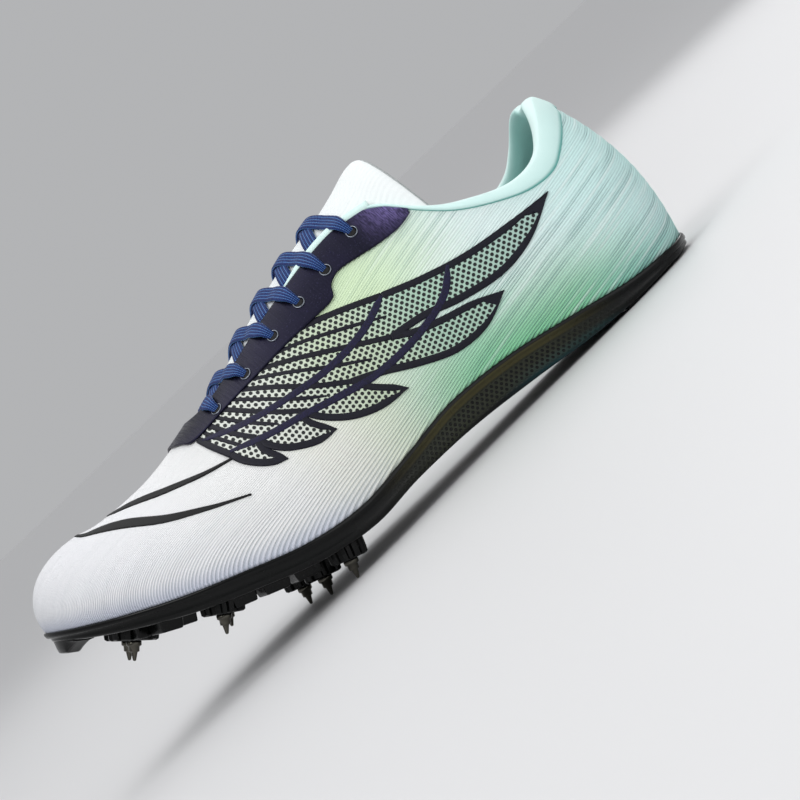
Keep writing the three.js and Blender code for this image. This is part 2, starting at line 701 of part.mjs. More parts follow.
// Places a section across the skin where the topline passes a station. What hangs below follows the skin.
function toplineRing(s, side, section) {
  const v = toplineShare(s, side);
  const step = 0.02;
  const edge = skin(s, side, v);
  const rise = skin(s, side, v + step).sub(skin(s, side, v - step));
  const speed = rise.length() / (2 * step);
  rise.normalize();
  const ahead = skin(s + step, side, v).sub(skin(Math.max(s - step, 0), side, v));
  const run = s === 0 ? new THREE.Vector3(0, side, 0) : ahead;
  const away = new THREE.Vector3().crossVectors(rise, run).multiplyScalar(side).normalize();
  return section.map(([out, lift]) => {
    const base = lift > 0 ? edge.clone().addScaledVector(rise, lift) : skin(s, side, v + lift / speed);
    return base.addScaledVector(away, out);
  });
}

function alongTopline(sectionAt) {
  const rings = [];
  for (let i = -ROLL_STEPS; i <= ROLL_STEPS; i++) {
    const s = (Math.abs(i) / ROLL_STEPS) * ROLL_END;
    rings.push(toplineRing(s, i < 0 ? -1 : 1, sectionAt(s)));
  }
  return solid(loft(rings));
}

// Padded roll over the top of the knit, thinner where it runs out along the throat
const makeCollarRoll = () => alongTopline(rollSection);

// The room that the knit leaves for the roll
function rollRoom() {
  const [inside, outside, height] = [-UPPER_WALL - 3 * GAP, 2 * ROLL_PROUD, 2 * ROLL_RISE];
  return alongTopline(() => [[inside, 0], [outside, 0], [outside, height], [inside, height]]);
}

// A flat strap along a path over the shoe
function strap(path) {
  const rings = path.map(({ point, normal }, i) => {
    const before = path[Math.max(i - 1, 0)].point;
    const after = path[Math.min(i + 1, path.length - 1)].point;
    const run = after.clone().sub(before).normalize();
    const across = new THREE.Vector3().crossVectors(normal, run).normalize().multiplyScalar(LACE_WIDTH / 2);
    const over = new THREE.Vector3().crossVectors(run, across).normalize().multiplyScalar(LACE_THICKNESS / 2);
    return [[1, 1], [-1, 1], [-1, -1], [1, -1]].map(([a, b]) =>
      point.clone().addScaledVector(across, a).addScaledVector(over, b),
    );
  });
  return solid(loft(rings));
}

const LACE_STEPS = 9;
const laceOverStay = EYESTAY_THICKNESS + 3 * GAP + LACE_THICKNESS / 2;
const laceOverTongue = -UPPER_WALL + 1.7 * GAP + LACE_THICKNESS / 2;

function throatHalfAt(x) {
  const next = Math.max(throat.findIndex((row) => alongX(row.along) > x), 1);
  const [a, b] = [throat[next - 1], throat[next]];
  const share = (x - alongX(a.along)) / (alongX(b.along) - alongX(a.along));
  return THREE.MathUtils.lerp(throatHalf(a), throatHalf(b), share);
}

// The lace from one place to another, each given by its place along and off the crest. It lies on the
// eyestay, and comes down on the tongue inside the throat.
function laceBar(from, to) {
  const path = Array.from({ length: LACE_STEPS }, (_, i) => {
    const share = i / (LACE_STEPS - 1);
    const x = THREE.MathUtils.lerp(from.x, to.x, share);
    const off = THREE.MathUtils.lerp(from.off, to.off, share);
    const inside = throatHalfAt(x) - Math.abs(off);
    const dives = Math.sign(off) === Math.sign(to.off) && to.dives;
    const down = dives ? 1 : THREE.MathUtils.smoothstep(inside, 0.08 * THROAT_WIDTH, 0.26 * THROAT_WIDTH);
    const { point, normal } = onSkin(x, crestAt(x) + off);
    point.addScaledVector(normal, THREE.MathUtils.lerp(laceOverStay, laceOverTongue, down));
    return { point, normal };
  });
  return strap(path);
}

// Between two rows of eyelets a lace leaves each upper eyelet, crosses the other on the tongue and dives
// under the far edge of the throat, by the next eyelet. The last row ends in a bar straight across.
function makeLaceRow(i) {
  const offAt = (row) => row.aside * BALL_WIDTH - EYELET_RADIUS - 2 * GAP;
  const start = (side) => ({ x: alongX(eyelets[i].along), off: side * offAt(eyelets[i]) });
  const end = (side) => {
    const x = alongX(eyelets[i + 1].along) - LACE_WIDTH / 3;
    return { x, off: side * (throatHalfAt(x) - 3 * GAP), dives: true };
  };
  const row = laceBar(start(1), end(-1)).add(laceBar(start(-1), end(1)));
  if (i + 2 < eyelets.length) return row;
  const toe = eyelets[i + 1];
  const x = alongX(toe.along);
  return row.add(laceBar({ x, off: offAt(toe) }, { x, off: -offAt(toe) }));
}

const finish = {
  upper: { color: 0xdff0e6, roughness: 0.85, metalness: 0 },
  lining: { color: 0x9fe0d4, roughness: 0.9, metalness: 0 },
  tongue: { color: 0xf0f2f2, roughness: 0.85, metalness: 0 },
  insole: { color: 0x1c2424, roughness: 0.9, metalness: 0 },
  plate: { color: 0x0c1212, roughness: 0.2, metalness: 0 },
  satin: { color: 0x16142e, roughness: 0.4, metalness: 0 },
  metal: { color: 0x8d8a78, roughness: 0.3, metalness: 1 },
  lace: { color: 0x1d4f9c, roughness: 0.75, metalness: 0 },
};

const shoe = new THREE.Group();

function addPiece(name, geometry, look) {
  const mesh = new THREE.Mesh(geometry, new THREE.MeshStandardMaterial(finish[look]));
  mesh.name = name;
  shoe.add(mesh);
  return mesh;
}

addPiece('outsole', geometryOf(makeOutsole()), 'plate');
addPiece('upper', geometryOf(makeUpper()), 'upper');
addPiece('insole', geometryOf(makeInsole()), 'insole');
addPiece('tongue', geometryOf(makeTongue()), 'tongue');
addPiece('eyestay', geometryOf(makeEyestay()), 'satin');
addPiece('collar_roll', geometryOf(makeCollarRoll()), 'lining');
for (let i = 0; i < eyelets.length - 1; i++) {
  addPiece(`lace_row_${i + 1}`, geometryOf(makeLaceRow(i)), 'lace');
}
spikes.forEach((spike, i) => {
  const { seat, axis } = spikeSeat(spike);
  addPiece(`spike_${i + 1}`, spikeGeometry(), 'metal').applyMatrix4(frameAt(seat, axis));
});
for (const { name, point, normal } of eyeletPlaces) {
  addPiece(name, eyeletGeometry(), 'metal').applyMatrix4(frameAt(point, normal));
}

export default shoe;
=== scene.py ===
"""Looks of a left running spike: ribbed knit upper, dark throat film, wing motif, flat laces, spiked plate.

Sizes are in millimetres and turned into metres when a mesh is made. +X runs to the toe, +Y to the
lateral side, +Z up, from the middle of the heel's flat resting face.
"""
import math

import bmesh
import bpy
import numpy as np
from mathutils import Matrix, Vector
from mathutils.bvhtree import BVHTree
from mathutils.geometry import delaunay_2d_cdt


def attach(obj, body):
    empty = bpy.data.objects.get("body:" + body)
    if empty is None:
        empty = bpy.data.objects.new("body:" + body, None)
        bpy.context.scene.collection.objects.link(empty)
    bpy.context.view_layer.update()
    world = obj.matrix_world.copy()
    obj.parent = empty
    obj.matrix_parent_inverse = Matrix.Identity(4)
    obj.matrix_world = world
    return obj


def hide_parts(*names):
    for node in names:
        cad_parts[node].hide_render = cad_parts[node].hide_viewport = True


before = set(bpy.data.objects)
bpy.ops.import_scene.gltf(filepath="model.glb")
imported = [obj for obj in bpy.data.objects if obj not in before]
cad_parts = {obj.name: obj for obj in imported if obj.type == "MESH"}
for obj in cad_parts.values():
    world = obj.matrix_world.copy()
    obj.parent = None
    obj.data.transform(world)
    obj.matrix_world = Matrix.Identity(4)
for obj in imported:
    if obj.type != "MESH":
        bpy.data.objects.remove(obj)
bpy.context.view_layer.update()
MM = 0.001

# Driving sizes, as in the part's own source
LENGTH = 261.0
HEEL_SET = 23.0
BALL_WIDTH = 86.0
HEEL_WIDTH = 59.0
INSTEP_HEIGHT = 100.0
COLLAR_HEIGHT = 75.0
ARCH_RISE = 9.5
TOE_SPRING = 54.0
GAP = 0.3
UPPER_WALL = 1.8
THROAT_WIDTH = 32.0
SOLE_THICKNESS = 6.0
PAD_THICKNESS = 1.0

# Sections of the last, a row each from the back of the heel to the tip of the toe
COLUMNS = ("along", "fore", "lateral", "medial", "arch", "spring", "thick",
           "crest_along", "crest_aside", "crest", "square", "belly")
SECTIONS = np.array([
    [0, 0, 0, 0, 0, 0, 0.66, 0.107, 0, 0.94, 2.8, 0.093],
    [0.0115, 0, 0.215, 0.215, 0, 0, 0.68, 0.115, 0, 0.96, 2.8, 0.091],
    [0.0464, 0, 0.4, 0.4, 0, 0, 0.72, 0.138, 0, 1, 2.8, 0.088],
    [0.1207, 0, 0.5, 0.5, 0, 0, 1.08, 0.169, 0, 1.04, 2.8, 0.086],
    [0.2069, 0.05, 0.51, 0.48, 0.15, 0, 1.7, 0.222, 0, 1.075, 2.5, 0.07],
    [0.3103, 0.33, 0.46, 0.39, 0.55, 0, 2.03, 0.31, 0, 1.03, 2.2, 0.045],
    [0.4138, 0.66, 0.43, 0.33, 0.87, 0, 1.95, 0.414, -0.012, 0.982, 2.1, 0.035],
    [0.5134, 1, 0.44, 0.35, 0.97, 0, 1.42, 0.513, -0.025, 0.912, 2.05, 0.035],
    [0.5977, 1, 0.495, 0.425, 0.8, 0.016, 1.34, 0.598, -0.045, 0.835, 2.05, 0.035],
    [0.682, 1, 0.515, 0.478, 0.45, 0.152, 1.3, 0.674, -0.07, 0.775, 2.1, 0.03],
    [0.7663, 1, 0.492, 0.492, 0.15, 0.353, 1.3, 0.751, -0.093, 0.738, 2.2, 0.025],
    [0.8429, 1, 0.428, 0.47, 0, 0.533, 1.25, 0.812, -0.11, 0.737, 2.3, 0.02],
    [0.9119, 1, 0.325, 0.412, 0, 0.709, 1.12, 0.854, -0.117, 0.748, 2.3, 0.015],
    [0.9617, 1, 0.19, 0.322, 0, 0.86, 0.965, 0.881, -0.117, 0.768, 2.2, 0.01],
    [0.9904, 1, 0.05, 0.21, 0, 0.965, 0.8, 0.91, -0.112, 0.776, 2.1, 0.005],
    [1, 1, -0.087, 0.087, 0, 1, 0.77, 0.927, -0.105, 0.77, 2, 0],
])
LAST = len(SECTIONS) - 1
TABLE = {name: SECTIONS[:, i] for i, name in enumerate(COLUMNS)}
WIDTHS = HEEL_WIDTH + (BALL_WIDTH - HEEL_WIDTH) * TABLE["fore"]

# Topline, seen from the side: share of LENGTH, share of COLLAR_HEIGHT
TOPLINE = [(-0.06, 0.955), (0.008, 0.955), (0.02, 0.985), (0.032, 0.965), (0.047, 0.915), (0.066, 0.85),
           (0.09, 0.785), (0.12, 0.757), (0.155, 0.77), (0.195, 0.83), (0.23, 0.91), (0.262, 1.025),
           (0.29, 1.145), (0.325, 1.225), (0.37, 1.28)]
# Edge of the throat, seen from above: share of LENGTH, share of THROAT_WIDTH on either side of the crest
THROAT = [(0.27, 0.68), (0.33, 0.56), (0.38, 0.5), (0.5, 0.505), (0.6, 0.49), (0.645, 0.4), (0.665, 0.22),
          (0.67, 0)]
# Lower edge of the eyestay, seen from the side: share of LENGTH, share of INSTEP_HEIGHT
EYESTAY_EDGE = [(0.24, 0.81), (0.27, 0.778), (0.296, 0.766), (0.33, 0.774), (0.362, 0.79), (0.392, 0.802),
                (0.413, 0.785), (0.426, 0.747), (0.46, 0.742), (0.51, 0.743), (0.56, 0.737), (0.62, 0.73),
                (0.684, 0.719), (0.7, 0.742), (0.713, 0.767), (0.72, 0.82)]
# Edge of the tongue, seen from above: share of LENGTH, share of THROAT_WIDTH
TONGUE_EDGE = [(0.2, 0.6), (0.28, 0.6), (0.36, 0.61), (0.5, 0.62), (0.64, 0.57), (0.69, 0.36), (0.7, 0)]
# Eyelets: share of LENGTH, share of BALL_WIDTH from the crest
EYELETS = [(0.342, 0.24), (0.404, 0.257), (0.46, 0.264), (0.516, 0.272), (0.577, 0.277), (0.636, 0.265)]
# Spikes: along, aside, lean in degrees, radius of the boss, stands on the floor
SPIKES = [(0.663, 0.395, 20, 6.8, True), (0.693, 0.093, 20, 6.8, True), (0.709, -0.302, 20, 6.8, True),
          (0.836, 0.33, 34, 7.6, False), (0.809, -0.3, 30, 7.6, False), (0.944, 0.13, 42, 8.6, False),
          (0.944, -0.17, 42, 8.6, False)]
# Lugs: along, aside, length, width, turn in degrees
LUGS = [(0.63, 0.05, 7, 12, 0), (0.705, 0.33, 11, 12, 10), (0.748, 0.35, 11, 11, 14), (0.74, -0.1, 7, 12, 0),
        (0.78, 0.12, 7, 14, 0), (0.791, 0.34, 10, 12, 16), (0.79, -0.36, 9, 9, -14), (0.85, 0, 7, 14, 0),
        (0.882, 0.27, 10, 10, 25), (0.911, 0.2, 8, 10, 25), (0.905, -0.31, 8, 8, -20)]
SPIKE_LENGTH = 7.0
BOSS_HEIGHT = 3.7
LUG_HEIGHT = 3.4


# Curves and the last's skin

def smooth(low, high, value):
    t = np.clip((np.asarray(value, float) - low) / (high - low), 0, 1)
    return t * t * (3 - 2 * t)


def mix(a, b, t):
    return a + (b - a) * t


def along_x(share):
    return share * LENGTH - HEEL_SET


def folded(i):
    i = np.where(i < 0, -i, i)
    return np.where(i > LAST, 2 * LAST - i, i)


def bend(pick, i, f):
    """A point between two of a curve's values, at a share f from the one at i."""
    a, b, c, d = pick(i - 1), pick(i), pick(i + 1), pick(i + 2)
    return (2 * b + (c - a) * f + (2 * a - 5 * b + 4 * c - d) * f**2 + (3 * b - a - 3 * c + d) * f**3) / 2


def through(pick, s):
    """Catmull-Rom curve through the values that pick(i) gives at whole numbers."""
    i = np.clip(np.floor(s).astype(int), 0, LAST - 1)
    return bend(pick, i, s - i)


def value(name, s):
    return through(lambda i: TABLE[name][folded(i)], s)


def half_width(s, side):
    own = TABLE["lateral"] if side > 0 else -TABLE["medial"]
    other = -TABLE["medial"] if side > 0 else TABLE["lateral"]

    def pick(i):
        row = folded(i)
        return WIDTHS[row] * np.where((i < 0) | (i > LAST), other[row], own[row])
    return through(pick, s)


def underside(s):
    return PAD_THICKNESS + ARCH_RISE * value("arch", s) + TOE_SPRING * value("spring", s)


def feather_height(s):
    return underside(s) + SOLE_THICKNESS * value("thick", s)


def feather(s, side):
    return np.stack([along_x(value("along", s)), half_width(s, side), feather_height(s)], -1)


def crest(s):
    aside = BALL_WIDTH * value("crest_aside", s)
    return np.stack([along_x(value("crest_along", s)), aside, INSTEP_HEIGHT * value("crest", s)], -1)


def outward(s, side):
    """Outward direction of the foot's outline, seen from above."""
    step = 0.02
    run = feather(np.minimum(s + step, LAST), side) - feather(np.maximum(s - step, 0), side)
    run[..., 2] = 0
    run /= np.linalg.norm(run, axis=-1, keepdims=True)
    out = np.stack([-run[..., 1], run[..., 0], 0 * run[..., 0]], -1) * side
    out[s <= 0] = (-1, 0, 0)
    out[s >= LAST] = (1, 0, 0)
    return out


def skin(s, side, v):
    """Points of the last's skin: v runs from 0 at the feather line to 1 at the crest."""
    s, v = np.broadcast_arrays(np.asarray(s, float), np.asarray(v, float))
    low, high = feather(s, side), crest(s)
    power = 2 / value("square", s)
    rise = np.sin(v * math.pi / 2) ** power
    reach = np.maximum(np.cos(v * math.pi / 2), 0) ** power
    width = mix(HEEL_WIDTH, BALL_WIDTH, value("fore", s))
    bulge = width * value("belly", s) * np.maximum(np.sin(math.pi * rise**0.75), 0) ** 1.3
    point = high + (low - high) * reach[..., None]
    point[..., 2] = mix(low[..., 2], high[..., 2], rise)
    return point + outward(s, side) * bulge[..., None]


def last_that(holds, low, high, rounds=26):
    """The largest value between two arrays of ends up to which a test holds, found by halving."""
    low, high = np.array(low, float), np.array(high, float)
    for _ in range(rounds):
        middle = (low + high) / 2
        yes = holds(middle)
        low, high = np.where(yes, middle, low), np.where(yes, high, middle)
    return (low + high) / 2


def catmull(points, count, closed=False):
    """Points along a Catmull-Rom curve through the rows of points."""
    p = np.asarray(points, float)
    n = len(p)
    t = np.linspace(0, n if closed else n - 1, count, endpoint=not closed)
    i = np.minimum(np.floor(t).astype(int), n - 1 if closed else n - 2)
    return bend((lambda k: p[k % n]) if closed else (lambda k: p[np.clip(k, 0, n - 1)]), i, (t - i)[:, None])


def curve_of(rows, first, second, count=60):
    """A table's curve as two sorted columns, for np.interp."""
    dense = catmull([(first(a), second * b) for a, b in rows], count)
    return dense[:, 0], dense[:, 1]


topline_x, topline_z = curve_of(TOPLINE, along_x, COLLAR_HEIGHT)
stay_x, stay_z = curve_of(EYESTAY_EDGE, along_x, INSTEP_HEIGHT, 120)
tongue_x, tongue_half = curve_of(TONGUE_EDGE, along_x, THROAT_WIDTH, 80)
throat_x, throat_half = curve_of(THROAT, along_x, THROAT_WIDTH, 80)
crest_line = crest(np.linspace(0, LAST, 600))


def crest_y(x):
    return np.interp(x, crest_line[:, 0], crest_line[:, 1])


def throat_at(x):
    return np.interp(x, throat_x, throat_half, right=0)


# Meshes

def to_mesh(name, points, faces, uv=None):
    """A mesh from points in millimetres. uv: one pair for each point, or for each corner of each face."""
    mesh = bpy.data.meshes.new(name)
    metres = [tuple(p) for p in np.asarray(points, float) * MM]
    mesh.from_pydata(metres, [], [tuple(map(int, f)) for f in faces])
    if uv is not None:
        layer = mesh.uv_layers.new(name="UVMap")
        uv = np.asarray(uv, float)
        if len(uv) == len(points):
            uv = uv[np.concatenate([np.asarray(f, int) for f in faces])]
        layer.data.foreach_set("uv", uv.astype(np.float32).ravel())
    mesh.validate()
    mesh.update()
    return mesh


def make_piece(name, mesh, look, replaces=(), flat=False):
    """Puts a mesh in the scene as a piece of the shoe."""
    obj = bpy.data.objects.new(name, mesh)
    bpy.context.scene.collection.objects.link(obj)
    mesh.polygons.foreach_set("use_smooth", [not flat] * len(mesh.polygons))
    for one in look if isinstance(look, (list, tuple)) else [look]:
        mesh.materials.append(one)
    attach(obj, "root")
    if replaces:
        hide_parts(*replaces)
    return obj


def grid_faces(rows, cols, first=0, wrap=False, flip=False):
    """Quads of a grid of points that are stored row by row."""
    faces = []
    for i in range(rows - 1):
        for k in range(cols if wrap else cols - 1):
            n = (k + 1) % cols
            face = (i * cols + k, i * cols + n, (i + 1) * cols + n, (i + 1) * cols + k)
            faces.append(tuple(first + j for j in (face[::-1] if flip else face)))
    return faces


def tube_faces(count, around):
    """Faces of a row of closed rings, with its two ends closed round two more points."""
    faces = grid_faces(count, around, wrap=True)
    last = (count - 1) * around
    for k in range(around):
        n = (k + 1) % around
        faces.append((n, k, count * around))
        faces.append((last + k, last + n, count * around + 1))
    return faces


def reworked(mesh, change=lambda bm: None):
    """Makes a change to the mesh and turns its faces outward."""
    bm = bmesh.new()
    bm.from_mesh(mesh)
    change(bm)
    bmesh.ops.recalc_face_normals(bm, faces=bm.faces)
    bm.to_mesh(mesh)
    bm.free()
    return mesh


def weld(mesh, distance=0.02):
    return reworked(mesh, lambda bm: bmesh.ops.remove_doubles(bm, verts=bm.verts, dist=distance * MM))


def fill_open_edges(bm):
    open_edges = [e for e in bm.edges if e.is_boundary]
    if open_edges:
        bmesh.ops.holes_fill(bm, edges=open_edges)


def apply_modifiers(obj):
    """Bakes the object's modifiers into its mesh."""
    graph = bpy.context.evaluated_depsgraph_get()
    graph.update()
    mesh = bpy.data.meshes.new_from_object(obj.evaluated_get(graph))
    obj.modifiers.clear()
    obj.data = mesh
    return obj


def solidify(obj, thickness, offset=-1.0, inner=0, rim=0):
    mod = obj.modifiers.new("Thickness", "SOLIDIFY")
    mod.thickness = thickness * MM
    mod.offset = offset
    mod.use_even_offset = False
    mod.material_offset = inner
    mod.material_offset_rim = rim
    return apply_modifiers(obj)


# The skin as a fine mesh, to lay things on
FORM_ALONG, FORM_UP = 260, 70
form_points, form_faces = [], []
for side in (1, -1):
    s_grid = np.linspace(0, LAST, FORM_ALONG)[:, None]
    v_grid = np.linspace(0, 1, FORM_UP)[None, :]
    form_faces += grid_faces(FORM_ALONG, FORM_UP, first=len(form_points), flip=side < 0)
    form_points += list(skin(s_grid, side, v_grid).reshape(-1, 3))
form_tree = BVHTree.FromPolygons([tuple(p) for p in form_points], form_faces)


def outer(point, normal):
    """The normal turned to point out of the shoe."""
    centre = Vector((point.x, 0, 0.45 * INSTEP_HEIGHT))
    return normal if normal.dot(point - centre) > 0 else -normal


def from_side(x, z):
    """The skin's point and normal where a line from the lateral side meets it."""
    hit = form_tree.ray_cast(Vector((x, 200, z)), Vector((0, -1, 0)))
    return hit[0], outer(hit[0], hit[1])


def from_above(x, y):
    hit = form_tree.ray_cast(Vector((x, y, 200)), Vector((0, 0, -1)))
    return hit[0], outer(hit[0], hit[1])


def nearest(point):
    hit = form_tree.find_nearest(Vector(point))
    return hit[0], outer(hit[0], hit[1])


# Materials

def srgb(*rgb):
    """Linear colour of a colour that is given as it shows, 0 to 255."""
    return tuple(((c / 255 + 0.055) / 1.055) ** 2.4 if c > 10 else c / 255 / 12.92 for c in rgb) + (1.0,)


class Look:
    """A material's node tree, with short calls for the nodes that the finishes share."""

    def __init__(self, name, rough=0.6, metallic=0.0, **sockets):
        self.material = bpy.data.materials.new(name)
        self.material.use_nodes = True
        self.tree = self.material.node_tree
        self.shader = self.tree.nodes["Principled BSDF"]
        self.shader.inputs["Roughness"].default_value = rough
        self.shader.inputs["Metallic"].default_value = metallic
        for key, setting in sockets.items():
            self.shader.inputs[key.replace("_", " ")].default_value = setting
        coords = self.tree.nodes.new("ShaderNodeTexCoord")
        self.uv, self.at = coords.outputs["UV"], coords.outputs["Object"]

    def node(self, kind, inputs=(), **settings):
        made = self.tree.nodes.new(kind)
        for key, setting in settings.items():
            setattr(made, key, setting)
        for key, source in dict(inputs).items():
            if isinstance(source, bpy.types.NodeSocket):
                self.tree.links.new(source, made.inputs[key])
            else:
                made.inputs[key].default_value = source
        return made

    def math(self, operation, a, b=0.0, clamp=False):
        return self.node("ShaderNodeMath", {0: a, 1: b}, operation=operation, use_clamp=clamp).outputs[0]

    def times(self, a, b):
        return self.math("MULTIPLY", a, b)

    def plus(self, a, b):
        return self.math("ADD", a, b)

    def band(self, source, low, high, from_to=(0.0, 1.0)):
        """A smooth step of a value between two limits."""
        settings = {"Value": source, "From Min": low, "From Max": high,
                    "To Min": from_to[0], "To Max": from_to[1]}
        return self.node("ShaderNodeMapRange", settings, interpolation_type="SMOOTHSTEP").outputs[0]

    def split(self, vector):
        parts = self.node("ShaderNodeSeparateXYZ", {0: vector})
        return parts.outputs[0], parts.outputs[1], parts.outputs[2]

    def join(self, x, y, z=0.0):
        return self.node("ShaderNodeCombineXYZ", {0: x, 1: y, 2: z}).outputs[0]

    def noise(self, vector, scale, detail=2.0, rough=0.5):
        settings = {"Vector": vector, "Scale": scale, "Detail": detail, "Roughness": rough}
        return self.node("ShaderNodeTexNoise", settings).outputs[0]

    def colour(self, share, a, b, blend="MIX"):
        made = self.node("ShaderNodeMix", data_type="RGBA", blend_type=blend)
        for key, source in {"Factor": share, "A": a, "B": b}.items():
            wanted = "VALUE" if key == "Factor" else "RGBA"
            socket = next(i for i in made.inputs if i.name == key and i.type == wanted)
            if isinstance(source, bpy.types.NodeSocket):
                self.tree.links.new(source, socket)
            else:
                socket.default_value = source
        return next(o for o in made.outputs if o.type == "RGBA")

    def ramp(self, share, stops, smoothly=True):
        made = self.node("ShaderNodeValToRGB", {0: share})
        made.color_ramp.interpolation = "EASE" if smoothly else "LINEAR"
        elements = made.color_ramp.elements
        for place, shade in stops[2:]:
            elements.new(place).color = shade
        for element, (place, shade) in zip(sorted(elements, key=lambda e: e.position), sorted(stops)):
            element.position = place
            element.color = shade
        return made.outputs[0]

    def dots(self, across, down, tall, outer, inner):
        """Round spots in staggered rows: places counted in spots and in rows, each row tall times as high."""
        row = self.math("FLOOR", down)
        shifted = self.plus(across, self.times(row, 0.5))
        du = self.math("SUBTRACT", self.math("FRACT", shifted), 0.5)
        dv = self.times(self.math("SUBTRACT", self.math("FRACT", down), 0.5), tall)
        reach = self.math("SQRT", self.plus(self.times(du, du), self.times(dv, dv)))
        return self.band(reach, outer, inner)

    def sole_height(self, x):
        """Height of the edge of the sole at a place along the shoe, in metres."""
        s = np.linspace(0, LAST, 400)
        line = feather(s, 1)
        stops = [(share, (height * 10, height * 10, height * 10, 1.0)) for share, height in
                 ((t, float(np.interp((t * 0.27 - 0.03) / MM, line[:, 0], line[:, 2])) * MM)
                  for t in np.linspace(0, 1, 16))]
        share = self.node("ShaderNodeMapRange", {"Value": x, "From Min": -0.03, "From Max": 0.24}).outputs[0]
        return self.times(self.split(self.ramp(share, stops, smoothly=False))[0], 0.1)

    def finish(self, colour=None, rough=None, bumps=()):
        """Links colour and roughness, and a chain of bumps given as (height, depth in mm)."""
        if colour is not None:
            if isinstance(colour, bpy.types.NodeSocket):
                self.tree.links.new(colour, self.shader.inputs["Base Color"])
            else:
                self.shader.inputs["Base Color"].default_value = colour
        if rough is not None:
            self.tree.links.new(rough, self.shader.inputs["Roughness"])
        normal = None
        for height, depth in bumps:
            settings = {"Height": height, "Strength": 1.0, "Distance": depth * MM}
            if normal is not None:
                settings["Normal"] = normal
            normal = self.node("ShaderNodeBump", settings).outputs[0]
        if normal is not None:
            self.tree.links.new(normal, self.shader.inputs["Normal"])
        return self.material


UV_SCALE = 100.0  # millimetres in one unit of a piece's UV map


def knit_look():
    """Ribbed knit. The map's V counts millimetres across the ribs and its U millimetres along the outline."""
    look = Look("Ribbed knit", rough=0.75, Sheen_Weight=0.12, Sheen_Roughness=0.4, Specular_IOR_Level=0.3)
    u, v, _ = look.split(look.uv)
    u, v = look.times(u, UV_SCALE), look.times(v, UV_SCALE)
    x, _, z = look.split(look.at)
    lift = look.times(look.math("SUBTRACT", z, look.sole_height(x)), 1000.0)
    wander = look.noise(look.join(look.times(u, 0.02), look.times(v, 0.12)), 1.0, 2.0)
    across = look.plus(v, look.times(wander, 0.7))
    rib = look.band(look.math("SINE", look.times(across, 2 * math.pi)), -0.9, 0.9)
    row = look.math("FLOOR", look.plus(across, 0.25))
    chance = look.noise(look.join(look.times(row, 3.71), look.times(u, 0.018)), 1.0, 1.0)
    stitch = look.math("SINE", look.plus(look.times(u, 2 * math.pi / 0.9), look.times(row, 2.1)))
    fold = look.noise(look.join(look.times(u, 0.012), look.times(v, 0.16)), 1.0, 2.0)
    base = look.ramp(look.band(x, -0.03, 0.24), [
        (0.0, srgb(208, 240, 237)), (0.14, srgb(226, 244, 241)), (0.27, srgb(224, 242, 236)),
        (0.38, srgb(220, 237, 220)), (0.5, srgb(230, 238, 218)), (0.62, srgb(238, 239, 230)),
        (0.74, srgb(241, 241, 240)), (1.0, srgb(240, 240, 243))])
    near_glow = look.times(look.band(x, -0.02, 0.03), look.band(x, 0.115, 0.06))
    glow = look.times(near_glow, look.band(lift, 32.0, -4.0))
    base = look.colour(look.times(glow, 0.95), base, srgb(122, 208, 148))
    teal = look.times(look.band(x, 0.035, 0.005), look.band(lift, 14.0, -2.0))
    base = look.colour(look.times(teal, 0.6), base, srgb(110, 190, 172))
    near_lime = look.times(look.band(x, 0.03, 0.075), look.band(x, 0.15, 0.1))
    lime = look.times(near_lime, look.band(z, 0.04, 0.068))
    base = look.colour(look.times(lime, 0.55), base, srgb(206, 232, 170))
    back = look.times(look.band(x, -0.014, -0.03), 0.35)
    base = look.colour(back, base, srgb(150, 214, 208))
    # Blue-grey within a few millimetres of the sole on the forefoot: partly the ribs' own bluish tint, partly
    # painted shade near the sole.
    blue_tint_and_shade = look.times(look.band(x, 0.11, 0.15), look.band(lift, 9.0, -1.0))
    base = look.colour(look.times(blue_tint_and_shade, 0.5), base, srgb(146, 158, 196))
    heel = look.band(x, 0.12, 0.0, (0.12, 1.0))
    sunk = look.math("SUBTRACT", 1.0, rib)
    line = look.times(look.times(look.band(chance, 0.54, 0.62), heel), look.plus(look.times(sunk, 0.9), 0.1))
    base = look.colour(look.times(line, 0.42), base, srgb(96, 150, 148))
    pale = look.times(look.band(chance, 0.46, 0.34), look.times(heel, 0.4))
    base = look.colour(pale, base, srgb(238, 248, 246))
    # Painted shade: the grooves between the ribs are darkened towards slate blue, more strongly near the
    # sole.
    groove_shade_near_sole = look.band(lift, 26.0, 3.0, (0.2, 0.5))
    base = look.colour(look.times(sunk, groove_shade_near_sole), base, look.colour(0.6, base, srgb(84, 112, 130)))
    height = look.plus(rib, look.plus(look.times(stitch, 0.14), look.times(line, -0.9)))
    height = look.times(height, look.band(lift, 40.0, 6.0, (0.62, 1.0)))
    return look.finish(base, None, [(fold, 0.4), (height, 0.25)])


def lining_look():
    look = Look("Lining", rough=0.8, Sheen_Weight=0.3)
    _, _, z = look.split(look.at)
    # Painted shade: the teal lining gets darker lower down inside the shoe.
    shade = look.ramp(look.band(z, 0.02, 0.075), [(0.0, srgb(40, 96, 92)), (1.0, srgb(116, 190, 182))])
    grain = look.noise(look.at, 2600, 2.0)
    shade = look.colour(look.times(grain, 0.25), shade, srgb(210, 240, 236))
    return look.finish(shade, None, [(grain, 0.12)])


